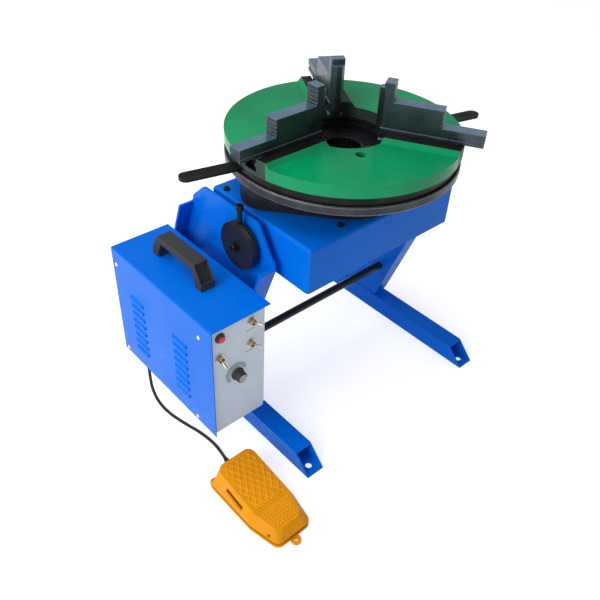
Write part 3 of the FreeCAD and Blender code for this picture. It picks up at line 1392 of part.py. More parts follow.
# ------------------------------------------------------------------------ nodes
def all_nodes():
    plate = support_plate()
    right_trunnion, left_trunnion = trunnion(1), trunnion(-1)
    end_plate, end_screw = hub_end_plate(), end_plate_screw()
    left_flange = mirrored_x(bearing_flange(ring_high_x))
    ring = mirrored_x(clamp_ring())
    screw = mirrored_x(tilt_lock_screw())
    screw_hole = mirrored_x(lock_screw_hole())
    gland_x, gland_y, gland_z = cable_route[0]
    nodes = {
        "left_foot_tube": foot_tube(-1),
        "right_foot_tube": foot_tube(1),
        "left_support_plate": mirrored_x(plate),
        "right_support_plate": plate,
        "cross_rod": cross_rod(),
        "left_bearing_flange": left_flange.cut(screw_hole),
        "right_bearing_flange": bearing_flange(ring_high_x),
        "tilt_clamp_ring": ring.cut(screw_hole),
        "right_shaft_collar": clamp_ring(),
        "tilt_lock_screw": screw,
        "tilt_box_shell": tilt_box_shell(),
        "tilt_box_cover": tilt_box_cover(),
        "box_top_bolts": box_top_bolts(),
        "left_trunnion": left_trunnion,
        "right_trunnion": right_trunnion,
        "trunnion_end_plates": Part.makeCompound([mirrored_x(end_plate), end_plate]),
        "trunnion_end_screws": Part.makeCompound([mirrored_x(end_screw), end_screw]),
        "gear_housing": gear_housing(),
        "bearing_sleeve": bearing_sleeve(),
        "spindle_bearings": Part.makeCompound([bearing(upper_bearing_z), bearing(lower_bearing_z)]),
        "gearmotor": gearmotor(),
        "drive_pinion": drive_pinion(),
        "hollow_spindle": hollow_spindle(),
        "spindle_nut": spindle_nut(),
        "spindle_gear": spindle_gear(),
        "table_disc": table_disc(),
        "spindle_screws": spindle_screws(),
        "chuck_hub": chuck_hub(),
        "chuck_body": chuck_body(),
        "chuck_screws": chuck_screws(),
        "scroll_plate": scroll_plate(),
        "scroll_lever_a": turned_about_z(lever_bar(), lever_angle),
        "scroll_lever_b": turned_about_z(lever_bar(), lever_angle + 180),
        "case_chassis": case_chassis(),
        "case_cover": case_cover(),
        "front_panel": front_panel(),
        "case_screws": Part.makeCompound([cover_screws(), handle_bolts()]),
        "case_mounts": case_mounts(),
        "carry_handle": carry_handle(),
        "button_switch": button_switch(),
        "button_cap": button_cap(),
        "toggle_switches": Part.makeCompound([toggle_switch(x, z) for x, z in toggle_places]),
        "speed_potentiometer": speed_potentiometer(),
        "speed_knob": speed_knob(),
        "transformer": transformer(),
        "control_board": control_board(),
        "power_inlet": power_inlet(),
        "cable_gland": cable_gland(gland_x, gland_y, gland_z),
        "pedal_base": pedal_base(),
    }
    for index in range(jaw_count):
        nodes["jaw_" + str(index + 1)] = jaw(index)
    names = ("forward_toggle", "mode_toggle", "power_toggle")
    for name, (x, z), (lean_x, lean_z) in zip(names, toggle_places, toggle_leans):
        nodes[name] = toggle_lever(x, z, lean_x, lean_z)
    nodes["pedal_cover"] = pedal_cover()
    nodes["pedal_pin"] = pedal_pin()
    nodes["pedal_switch"] = pedal_switch()
    nodes["pedal_spring"] = pedal_spring()
    nodes["pedal_cable"] = cable()
    return nodes


def main():
    os.makedirs("parts", exist_ok=True)
    for name, shape in all_nodes().items():
        if not shape.isValid():
            print("not valid:", name)
        shape.exportStep(os.path.join("parts", name + ".step"))


main()
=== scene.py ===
"""Welding positioner: finishes, fine pieces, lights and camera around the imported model.

Every length is in metres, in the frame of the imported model: +Z is up, -Y is the
side of the control panel and X is the tilt axis.
"""
import logging
import math
from dataclasses import dataclass
from enum import Enum
from typing import Iterable, Sequence

import bmesh
import bpy
from mathutils import Matrix, Vector


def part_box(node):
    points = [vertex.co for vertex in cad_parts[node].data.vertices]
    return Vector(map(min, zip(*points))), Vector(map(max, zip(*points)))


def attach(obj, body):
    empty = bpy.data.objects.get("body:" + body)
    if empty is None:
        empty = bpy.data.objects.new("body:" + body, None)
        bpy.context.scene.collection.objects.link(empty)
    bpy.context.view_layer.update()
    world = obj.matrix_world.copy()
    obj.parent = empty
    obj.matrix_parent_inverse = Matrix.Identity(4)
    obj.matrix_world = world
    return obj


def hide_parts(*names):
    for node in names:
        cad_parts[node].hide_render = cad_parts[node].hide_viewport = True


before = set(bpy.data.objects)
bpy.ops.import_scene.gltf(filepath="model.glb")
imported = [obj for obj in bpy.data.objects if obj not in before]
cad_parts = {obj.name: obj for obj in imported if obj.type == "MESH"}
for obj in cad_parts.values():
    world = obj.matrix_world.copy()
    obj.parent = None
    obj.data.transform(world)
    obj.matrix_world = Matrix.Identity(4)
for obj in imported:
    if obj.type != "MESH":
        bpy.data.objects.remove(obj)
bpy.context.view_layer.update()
LOG = logging.getLogger("positioner")
MERGE_DISTANCE = 1e-6
FLAT_ANGLE = 0.8
CARVED_FLAT_ANGLE = 0.5

Colour = tuple[float, float, float]
Point = tuple[float, float, float]
Pair = tuple[float, float]
Profile = Sequence[Pair]
Socket = bpy.types.NodeSocket
Form = bmesh.types.BMesh


class Body(Enum):
    """Bodies that carry a piece of this script, by their names in the model."""

    STAND = "stand"
    TILT_HEAD = "tilt_head"
    TURNTABLE = "turntable"
    FOOT_PEDAL = "foot_pedal"
    SPEED_KNOB = "speed_knob"
    JAW_1 = "jaw_1"
    JAW_2 = "jaw_2"
    JAW_3 = "jaw_3"


# ------------------------------------------------------------------- node graphs
class Graph:
    """A material's node tree, with short calls for the nodes that the finishes share."""

    def __init__(self, name: str) -> None:
        """Starts a material that holds one Principled shader.

        Args:
            name: The material's name.
        """
        self.material = bpy.data.materials.new(name)
        self.material.use_nodes = True
        self.tree = self.material.node_tree
        self.shader = self.tree.nodes["Principled BSDF"]
        self.place = self.add("ShaderNodeTexCoord").outputs["Object"]

    def add(self, kind: str, **settings: object) -> bpy.types.Node:
        """Adds a node and sets its attributes.

        Args:
            kind: The node's type name.
            **settings: Attributes of the node.

        Returns:
            The new node.
        """
        node = self.tree.nodes.new(kind)
        for key, value in settings.items():
            setattr(node, key, value)
        return node

    def join(self, source: Socket, target: Socket) -> None:
        """Links one socket to another."""
        self.tree.links.new(source, target)

    def feed(self, target: Socket, value: object) -> None:
        """Gives an input either a link, when the value is a socket, or a constant.

        Args:
            target: The input.
            value: The socket or the constant.
        """
        if isinstance(value, bpy.types.NodeSocket):
            self.join(value, target)
        else:
            target.default_value = value

    def stretched(self, scale: Point) -> Socket:
        """Scales the object coordinates along each axis.

        Args:
            scale: The scale along X, Y and Z.

        Returns:
            The scaled coordinates.
        """
        node = self.add("ShaderNodeMapping", vector_type="POINT")
        node.inputs["Scale"].default_value = scale
        self.join(self.place, node.inputs["Vector"])
        return node.outputs["Vector"]

    def noise(self, scale: float, detail: float = 2.0, rough: float = 0.5,
              place: Socket | None = None) -> Socket:
        """Noise over the piece.

        Args:
            scale: Waves per metre.
            detail: Octaves.
            rough: How much each octave adds.
            place: Coordinates; the piece's own when left out.

        Returns:
            The noise value.
        """
        node = self.add("ShaderNodeTexNoise")
        node.inputs["Scale"].default_value = scale
        node.inputs["Detail"].default_value = detail
        node.inputs["Roughness"].default_value = rough
        self.join(place or self.place, node.inputs["Vector"])
        return node.outputs["Fac"]

    def ramp(self, value: Socket, low: float, high: float, start: float = 0.0,
             end: float = 1.0) -> Socket:
        """Maps a value from one range to another, and holds it at both ends.

        Args:
            value: The value to map.
            low: Where its range starts.
            high: Where its range ends.
            start: The result at low.
            end: The result at high.

        Returns:
            The mapped value.
        """
        node = self.add("ShaderNodeMapRange", clamp=True)
        self.join(value, node.inputs["Value"])
        for name, number in zip(("From Min", "From Max", "To Min", "To Max"), (low, high, start, end)):
            node.inputs[name].default_value = number
        return node.outputs["Result"]

    def math(self, operation: str, first: object, second: object) -> Socket:
        """Takes one arithmetic step on two values.

        Args:
            operation: The step's name, such as MULTIPLY.
            first: A socket or a number.
            second: A socket or a number.

        Returns:
            The result.
        """
        node = self.add("ShaderNodeMath", operation=operation)
        self.feed(node.inputs[0], first)
        self.feed(node.inputs[1], second)
        return node.outputs["Value"]

    def blend(self, factor: Socket, first: object, second: object) -> Socket:
        """Mixes two colours, or sockets that carry them.

        Args:
            factor: How much of the second shows.
            first: A colour or its socket.
            second: A colour or its socket.

        Returns:
            The mixed colour.
        """
        node = self.add("ShaderNodeMix", data_type="RGBA")
        self.join(factor, node.inputs["Factor"])
        for index, value in ((6, first), (7, second)):
            self.feed(node.inputs[index], (*value, 1.0) if isinstance(value, tuple) else value)
        return node.outputs[2]

    def edges(self, width: float) -> Socket:
        """Finds the sharp outer and inner edges.

        Args:
            width: How far from an edge the mask reaches.

        Returns:
            A mask that is 1 on edges and 0 on open faces.
        """
        bevel = self.add("ShaderNodeBevel", samples=4)
        bevel.inputs["Radius"].default_value = width
        flat = self.add("ShaderNodeNewGeometry")
        dot = self.add("ShaderNodeVectorMath", operation="DOT_PRODUCT")
        self.join(bevel.outputs["Normal"], dot.inputs[0])
        self.join(flat.outputs["Normal"], dot.inputs[1])
        return self.ramp(dot.outputs["Value"], 0.995, 0.90)

    def bump(self, height: Socket, depth: float, strength: float) -> Socket:
        """Turns a height into a normal.

        Args:
            height: The height, from 0 to 1.
            depth: How many metres 1 stands above 0.
            strength: Share of the effect.

        Returns:
            The normal.
        """
        node = self.add("ShaderNodeBump")
        node.inputs["Strength"].default_value = strength
        node.inputs["Distance"].default_value = depth
        self.join(height, node.inputs["Height"])
        return node.outputs["Normal"]

    def patches(self, scale: float, detail: float, start: float = 0.0, end: float = 1.0) -> Socket:
        """Noise that wanders evenly between two values over the piece."""
        return self.ramp(self.noise(scale, detail), 0.3, 0.7, start, end)

    def surface(self, **inputs: object) -> bpy.types.Material:
        """Sets or links the shader's inputs, named with _ for spaces.

        Args:
            **inputs: Values or sockets for the shader.

        Returns:
            The finished material.
        """
        for key, value in inputs.items():
            socket = self.shader.inputs[key.replace("_", " ")]
            if isinstance(value, tuple) and len(value) == 3 and socket.type == "RGBA":
                value = (*value, 1.0)
            self.feed(socket, value)
        return self.material


# ---------------------------------------------------------------------- finishes
@dataclass(frozen=True)
class Enamel:
    """Sprayed gloss paint with orange peel, fine specks and worn edges."""

    name: str
    colour: Colour
    shade: Colour
    speck: Colour
    worn: Colour
    speck_share: float = 0.0
    roughness: float = 0.25
    peel_scale: float = 350.0
    peel_depth: float = 0.00012
    edge_wear: float = 0.35
    gloss: float = 0.22
    coat: float = 0.10

    def build(self) -> bpy.types.Material:
        """Makes the material.

        Returns:
            The material.
        """
        graph = Graph(self.name)
        cloud = graph.patches(9.0, 3.0)
        base = graph.blend(cloud, self.colour, self.shade)
        grains = graph.ramp(graph.noise(900.0, 2.0, 0.7), 0.60, 0.72, 0.0, self.speck_share)
        base = graph.blend(grains, base, self.speck)
        chips = graph.math("MULTIPLY", graph.edges(0.0009), graph.ramp(graph.noise(60.0, 4.0), 0.50, 0.62))
        base = graph.blend(graph.math("MULTIPLY", chips, self.edge_wear), base, self.worn)
        smears = graph.ramp(graph.noise(14.0, 5.0, 0.6), 0.35, 0.75, self.roughness, self.roughness + 0.16)
        peel = graph.bump(graph.noise(self.peel_scale, 2.0), self.peel_depth, 0.5)
        return graph.surface(Base_Color=base, Roughness=smears, Normal=peel, Coat_Weight=self.coat,
                             Coat_Roughness=0.08, Specular_IOR_Level=self.gloss)


@dataclass(frozen=True)
class DarkSteel:
    """Blackened or turned steel: cloudy oxide, fine machining lines and bright edges, partly rubbed bare
    metal and partly painted highlight.
    """

    name: str
    colour: Colour
    cloud: Colour
    # Edge colour: partly rubbed bare metal, partly painted highlight.
    edge: Colour
    metallic: float = 0.85
    roughness: float = 0.38
    grain: Point = (60.0, 60.0, 900.0)
    grain_depth: float = 0.00004
    edge_wear_and_highlight_share: float = 0.5
    gloss: float = 0.2

    def build(self) -> bpy.types.Material:
        """Makes the material.

        Returns:
            The material.
        """
        graph = Graph(self.name)
        cloud = graph.ramp(graph.noise(25.0, 5.0, 0.6), 0.35, 0.7)
        base = graph.blend(cloud, self.colour, self.cloud)
        # Bright edges: partly rubbed bare metal, partly painted highlight.
        rubbed_and_highlit_edges = graph.math("MULTIPLY", graph.edges(0.0006), self.edge_wear_and_highlight_share)
        base = graph.blend(rubbed_and_highlit_edges, base, self.edge)
        lines = graph.noise(1.0, 3.0, 0.6, graph.stretched(self.grain))
        rough = graph.patches(40.0, 4.0, self.roughness - 0.08, self.roughness + 0.12)
        return graph.surface(Base_Color=base, Metallic=self.metallic, Roughness=rough,
                             Specular_IOR_Level=self.gloss, Normal=graph.bump(lines, self.grain_depth, 0.6))


@dataclass(frozen=True)
class TurnedSteel:
    """A lathe-turned face with rings about the turntable's axis, and bright edges that are partly worn metal
    and partly painted highlight.
    """

    name: str
    colour: Colour
    bright: Colour
    # Edge colour: partly worn metal, partly painted highlight.
    worn: Colour = (0.62, 0.61, 0.58)
    roughness: float = 0.32
    ring_scale: float = 900.0

    def build(self) -> bpy.types.Material:
        """Makes the material.

        Returns:
            The material.
        """
        graph = Graph(self.name)
        rings = graph.add("ShaderNodeTexWave", wave_type="RINGS", rings_direction="Z")
        rings.inputs["Scale"].default_value = self.ring_scale
        rings.inputs["Distortion"].default_value = 1.5
        graph.join(graph.place, rings.inputs["Vector"])
        cloud = graph.ramp(graph.noise(30.0, 4.0), 0.35, 0.7)
        base = graph.blend(cloud, self.colour, self.bright)
        # Bright edges: partly worn metal, partly painted highlight.
        base = graph.blend(graph.math("MULTIPLY", graph.edges(0.0012), 0.8), base, self.worn)
        rough = graph.patches(45.0, 4.0, self.roughness, self.roughness + 0.15)
        return graph.surface(Base_Color=base, Metallic=0.9, Roughness=rough,
                             Normal=graph.bump(rings.outputs["Fac"], 0.00003, 0.35))


@dataclass(frozen=True)
class Plated:
    """Zinc, nickel or chrome plating."""

    name: str
    colour: Colour
    roughness: float = 0.22

    def build(self) -> bpy.types.Material:
        """Makes the material.

        Returns:
            The material.
        """
        graph = Graph(self.name)
        base = graph.blend(graph.patches(90.0, 3.0), self.colour, tuple(0.82 * c for c in self.colour))
        rough = graph.patches(160.0, 3.0, self.roughness, self.roughness + 0.14)
        return graph.surface(Base_Color=base, Metallic=1.0, Roughness=rough,
                             Normal=graph.bump(graph.noise(700.0, 2.0), 0.00002, 0.5))


@dataclass(frozen=True)
class Moulded:
    """Injection-moulded plastic or rubber with a fine grain."""

    name: str
    colour: Colour
    shade: Colour
    roughness: float = 0.42
    grain_scale: float = 1400.0
    grain_depth: float = 0.00005
    scatter: float = 0.0
    gloss: float = 0.5

    def build(self) -> bpy.types.Material:
        """Makes the material.

        Returns:
            The material.
        """
        graph = Graph(self.name)
        base = graph.blend(graph.ramp(graph.noise(22.0, 4.0), 0.35, 0.7), self.colour, self.shade)
        rough = graph.patches(50.0, 4.0, self.roughness, self.roughness + 0.14)
        return graph.surface(Base_Color=base, Roughness=rough, Subsurface_Weight=self.scatter,
                             Subsurface_Scale=0.003, Specular_IOR_Level=self.gloss,
                             Normal=graph.bump(graph.noise(self.grain_scale, 2.0), self.grain_depth, 0.5))


@dataclass(frozen=True)
class Lacquer:
    """A plain printed or inner finish with slight unevenness."""

    name: str
    colour: Colour
    roughness: float = 0.5
    metallic: float = 0.0

    def build(self) -> bpy.types.Material:
        """Makes the material.

        Returns:
            The material.
        """
        graph = Graph(self.name)
        base = graph.blend(graph.ramp(graph.noise(35.0, 4.0), 0.35, 0.7), self.colour,
                           tuple(0.8 * c for c in self.colour))
        rough = graph.patches(60.0, 3.0, self.roughness, self.roughness + 0.12)
        return graph.surface(Base_Color=base, Roughness=rough, Metallic=self.metallic,
                             Normal=graph.bump(graph.noise(600.0, 2.0), 0.00004, 0.4))


class Finish(Enum):
    """Every finish on the machine."""

    BLUE = Enamel("blue_enamel", (0.0, 0.170, 0.80), (0.0, 0.148, 0.72), (0.0, 0.24, 0.90),
                  (0.05, 0.19, 0.50), 0.15, 0.24, 350.0, 0.00010, 0.30, 0.08, 0.0)
    GREEN = Enamel("green_enamel", (0.0, 0.34, 0.125), (0.0, 0.24, 0.090), (0.03, 0.62, 0.30),
                   (0.12, 0.30, 0.18), 0.30, 0.22, 260.0, 0.00020, 0.35, 0.14, 0.12)
    RAIL = DarkSteel("bare_rail_steel", (0.020, 0.018, 0.018), (0.050, 0.042, 0.036), (0.26, 0.25, 0.23),
                     0.75, 0.36)
    SLOT = DarkSteel("slot_wall", (0.035, 0.060, 0.050), (0.060, 0.090, 0.075), (0.22, 0.28, 0.25), 0.3, 0.45)
    PANEL = Enamel("panel_enamel", (0.70, 0.80, 0.93), (0.64, 0.74, 0.87), (0.80, 0.86, 0.94),
                   (0.35, 0.37, 0.40), 0.15, 0.35, 500.0, 0.00005, 0.15, 0.3, 0.0)
    BLACK = Enamel("black_enamel", (0.010, 0.011, 0.014), (0.018, 0.020, 0.024), (0.04, 0.05, 0.06),
                   (0.20, 0.20, 0.20), 0.30, 0.28)
    OXIDE = DarkSteel("black_oxide", (0.009, 0.010, 0.012), (0.018, 0.019, 0.021), (0.20, 0.20, 0.20),
                      0.6, 0.36)
    JAW = DarkSteel("jaw_oxide", (0.044, 0.060, 0.070), (0.062, 0.080, 0.092), (0.46, 0.50, 0.54),
                    0.85, 0.30, (900.0, 900.0, 40.0), 0.00003, 0.7)
    # Upward jaw faces: a light bluish copy of the jaw steel, a painted reflection of the sky.
    JAW_TOP = DarkSteel("jaw_painted_sky_reflection", (0.28, 0.42, 0.58), (0.20, 0.31, 0.44), (0.66, 0.74, 0.82),
                        0.80, 0.26, (40.0, 900.0, 900.0), 0.00002, 0.8)
    DISC = TurnedSteel("turned_disc", (0.030, 0.033, 0.040), (0.052, 0.056, 0.066))
    STEEL = DarkSteel("machined_steel", (0.30, 0.30, 0.31), (0.22, 0.22, 0.23), (0.60, 0.60, 0.60),
                      0.95, 0.30)
    ZINC = Plated("zinc_plate", (0.72, 0.71, 0.68))
    NICKEL = Plated("warm_nickel", (0.66, 0.58, 0.42), 0.25)
    CHROME = Plated("chrome_plate", (0.80, 0.80, 0.82), 0.12)
    BLACK_PLASTIC = Moulded("black_plastic", (0.016, 0.016, 0.017), (0.030, 0.030, 0.031), 0.38)
    RED_PLASTIC = Moulded("red_plastic", (0.62, 0.012, 0.010), (0.50, 0.010, 0.008),
                          0.20, 900.0, 0.00002, 0.1)
    YELLOW = Moulded("pedal_plastic", (0.86, 0.335, 0.0), (0.78, 0.285, 0.0), 0.36, 1200.0, 0.00005, 0.0, 0.2)
    # Ribs and dots: a lighter yellow than the cover, which paints the light on the raised ribs and dots.
    RIB = Moulded("pedal_rib_painted_light", (0.96, 0.47, 0.006), (0.92, 0.42, 0.004), 0.32, 1200.0, 0.00004, 0.0, 0.3)
    # Near-black sheet behind the pedal's side window: painted shade of the pedal's inside.
    SHADE = Moulded("window_painted_shade", (0.004, 0.004, 0.004), (0.008, 0.008, 0.008), 0.7, 1200.0, 0.00004, 0.0,
                    0.05)
    RUBBER = Moulded("cable_jacket", (0.010, 0.010, 0.010), (0.022, 0.022, 0.022), 0.45)
    PRINT = Lacquer("panel_print", (0.020, 0.024, 0.034), 0.5)
    BOARD = Lacquer("circuit_board", (0.02, 0.20, 0.08), 0.4)
    CORE = Lacquer("laminations", (0.16, 0.14, 0.12), 0.5, 0.6)
    MOTOR = Lacquer("motor_lacquer", (0.06, 0.06, 0.065), 0.45)

    def material(self) -> bpy.types.Material:
        """The finish's material, made on first use."""
        return bpy.data.materials.get(self.value.name) or self.value.build()


# ----------------------------------------------------------------- piece helpers
def wear(finish: Finish, *nodes: str) -> None:
    """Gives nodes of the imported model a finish.

    Args:
        finish: What they are finished with.
        *nodes: Their names.
    """
    for node in nodes:
        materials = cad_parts[node].data.materials
        materials.clear()
        materials.append(finish.material())


def placed(name: str, data: bpy.types.ID) -> bpy.types.Object:
    """Puts a mesh, curve, lamp or camera into the scene as a new object.

    Args:
        name: The object's name.
        data: What it holds.

    Returns:
        The new object.
    """
    item = bpy.data.objects.new(name, data)
    bpy.context.scene.collection.objects.link(item)
    return item


def mesh_from(name: str, form: Form) -> bpy.types.Mesh:
    """Turns a bmesh into a mesh.

    Args:
        name: The mesh's name.
        form: The bmesh, which is freed.

    Returns:
        The new mesh.
    """
    mesh = bpy.data.meshes.new(name)
    form.to_mesh(mesh)
    form.free()
    return mesh


def smooth(mesh: bpy.types.Mesh, angle: float) -> None:
    """Shades a mesh smooth, with sharp edges above an angle in degrees."""
    mesh.shade_smooth()
    mesh.set_sharp_from_angle(angle=math.radians(angle))


def add_piece(name: str, form: Form, finish: Finish, body: Body,
              angle: float = 32.0) -> bpy.types.Object:
    """Turns a bmesh into a named piece that rides on a body.

    Args:
        name: The piece's name.
        form: Its shape, which is freed.
        finish: Its finish.
        body: The body that it moves with.
        angle: Smooth shading limit in degrees.

    Returns:
        The new object.
    """
    mesh = mesh_from(name, form)
    smooth(mesh, angle)
    mesh.materials.append(finish.material())
    piece = placed(name, mesh)
    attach(piece, body.value)
    LOG.info("%s: %d faces on %s", name, len(mesh.polygons), body.value)
    return piece


def copied(node: str) -> Form:
    """A merged copy of a node's mesh, with its flat faces made whole.

    Args:
        node: The node to copy.

    Returns:
        The new bmesh.
    """
    form = bmesh.new()
    form.from_mesh(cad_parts[node].data)
    bmesh.ops.remove_doubles(form, verts=form.verts, dist=MERGE_DISTANCE)
    bmesh.ops.dissolve_limit(form, angle_limit=math.radians(FLAT_ANGLE), verts=form.verts, edges=form.edges)
    return form


def round_over(form: Form, width: float, angle: float, segments: int = 2) -> None:
    """Rounds every edge of a bmesh that turns by more than an angle.

    Args:
        form: The bmesh.
        width: Size of the rounding.
        angle: The least turn, in degrees.
        segments: Faces across the rounding.
    """
    limit = math.radians(angle)
    sharp = [edge for edge in form.edges
             if len(edge.link_faces) == 2 and edge.calc_face_angle(0.0) > limit]
    bmesh.ops.bevel(form, geom=sharp, offset=width, offset_type="OFFSET", affect="EDGES",
                    segments=segments, profile=0.5, material=-1, clamp_overlap=False)


def carved(form: Form, cutters: Sequence[Form]) -> Form:
    """Cuts closed forms out of a closed form.

    Args:
        form: The form to cut, which is freed.
        cutters: The forms to take away, which are freed.

    Returns:
        What is left.
    """
    held = [placed(f"carving_{index}", mesh_from(f"carving_{index}", solid))
            for index, solid in enumerate((form, *cutters))]
    for cutter in held[1:]:
        cut = held[0].modifiers.new("cut", "BOOLEAN")
        cut.operation, cut.solver, cut.object = "DIFFERENCE", "EXACT", cutter
    left = bmesh.new()
    left.from_object(held[0], bpy.context.evaluated_depsgraph_get())
    for solid in held:
        bpy.data.meshes.remove(solid.data)
    flat = math.radians(CARVED_FLAT_ANGLE)
    bmesh.ops.dissolve_limit(left, angle_limit=flat, verts=left.verts, edges=left.edges)
    return left


def even_out(piece: bpy.types.Object) -> None:
    """Leans a piece's normals towards its large faces, which then stay flat.

    Args:
        piece: The piece.
    """
    normals = piece.modifiers.new("normals", "WEIGHTED_NORMAL")
    normals.keep_sharp = True
    normals.weight = 100


def soften(node: str, finish: Finish, body: Body, width: float = 0.0006,
           angle: float = 32.0) -> bpy.types.Object:
    """Stands a copy with rounded edges in place of a node.

    Args:
        node: The node to copy and replace.
        finish: Its finish.
        body: The body that it moves with.
        width: Size of the rounding.
        angle: Edges that turn by more than this many degrees are rounded.

    Returns:
        The new object.
    """
    form = copied(node)
    round_over(form, width, angle)
    piece = add_piece(node + "_soft", form, finish, body, angle)
    even_out(piece)
    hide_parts(node)
    return piece


def moved(form: Form, made: dict, matrix: Matrix) -> list[bmesh.types.BMVert]:
    """Applies a matrix to what a create operator has just made.

    Args:
        form: The bmesh.
        made: The operator's result.
        matrix: Where it goes.

    Returns:
        The moved vertices.
    """
    bmesh.ops.transform(form, matrix=matrix, verts=made["verts"])
    return made["verts"]


def bar(form: Form, start: Vector, end: Vector, width: float, height: float,
        up: Vector = Vector((0, 0, 1))) -> None:
    """Adds a straight bar between two points.

    Args:
        form: The bmesh.
        start: One end, in the middle of the bar's foot.
        end: The other end.
        width: Across the bar.
        height: Along up.
        up: The direction that the bar stands in.
    """
    along = (end - start).normalized()
    side = up.cross(along).normalized()
    lift = along.cross(side).normalized()
    middle = (start + end) / 2 + lift * height / 2
    turn = Matrix((along, side, lift)).transposed().to_4x4()
    scale = Matrix.Diagonal(((end - start).length, width, height, 1.0))
    moved(form, bmesh.ops.create_cube(form, size=1.0), Matrix.Translation(middle) @ turn @ scale)


def facing(direction: Point) -> Matrix:
    """A turn that takes +Z to a direction."""
    return Vector((0, 0, 1)).rotation_difference(Vector(direction)).to_matrix().to_4x4()


def post(form: Form, centre: Point, radius: float, depth: float, direction: Point,
         segments: int = 32) -> list[bmesh.types.BMVert]:
    """Adds a closed cylinder, or a prism when it has few sides.

    Args:
        form: The bmesh.
        centre: The middle of its foot.
        radius: Its radius.
        depth: Its length along the direction.
        direction: The way that it stands.
        segments: Sides.

    Returns:
        Its vertices.
    """
    made = bmesh.ops.create_cone(form, cap_ends=True, segments=segments, radius1=radius, radius2=radius,
                                 depth=depth)
    turn = facing(direction)
    return moved(form, made, Matrix.Translation(centre) @ turn @ Matrix.Translation((0, 0, depth / 2)))


def lathe(profile: Profile, centre: Point, direction: Point, steps: int) -> Form:
    """Spins an open profile into a closed round form.

    Args:
        profile: Pairs of radius and height, from the axis out and back to it.
        centre: The foot of the axis.
        direction: The axis.
        steps: Sides of the full turn.

    Returns:
        The new bmesh.
    """
    form = bmesh.new()
    verts = [form.verts.new((radius, 0.0, height)) for radius, height in profile]
    edges = [form.edges.new(pair) for pair in zip(verts, verts[1:])]
    bmesh.ops.spin(form, geom=verts + edges, cent=(0, 0, 0), axis=(0, 0, 1), angle=math.tau,
                   steps=steps, use_merge=True)
    bmesh.ops.remove_doubles(form, verts=form.verts, dist=MERGE_DISTANCE)
    bmesh.ops.recalc_face_normals(form, faces=form.faces)
    bmesh.ops.transform(form, matrix=Matrix.Translation(centre) @ facing(direction), verts=form.verts)
    return form


def weld_bead(form: Form, start: Vector, end: Vector, radius: float) -> None:
    """Adds a row of overlapping weld scales between two points.

    Args:
        form: The bmesh.
        start: The first scale's middle.
        end: The last scale's middle.
        radius: The scales' radius.
    """
    flatness, sway_share, sway_step = 0.75, 0.12, 2.3
    count = max(2, int((end - start).length / (radius * flatness)))
    turn = facing((end - start).normalized()) @ Matrix.Diagonal((1.0, 1.0, flatness, 1.0))
    for index in range(count + 1):
        sway = sway_share * radius * math.sin(index * sway_step)
        place = start.lerp(end, index / count) + Vector((sway, 0, sway / 2))
        made = bmesh.ops.create_icosphere(form, subdivisions=2, radius=radius)
        moved(form, made, Matrix.Translation(place) @ turn)


def round_range(count: int, first: float) -> Iterable[float]:
    """Angles in radians of a full pattern of copies."""
    return (first + math.tau * index / count for index in range(count))


# ------------------------------------------------------------------------ studio
@dataclass
class Lamp:
    """One soft rectangular lamp."""

    name: str
    place: Point
    aim: Point
    power: float
    width: float
    height: float
    colour: Colour = (1.0, 1.0, 1.0)

    def build(self) -> None:
        """Adds the lamp to the scene."""
        data = bpy.data.lights.new(self.name, "AREA")
        data.shape = "RECTANGLE"
        data.size, data.size_y = self.width, self.height
        data.energy = self.power
        data.color = self.colour
        lamp = placed(self.name, data)
        lamp.location = self.place
        lamp.rotation_euler = (Vector(self.aim) - Vector(self.place)).to_track_quat("-Z", "Y").to_euler()


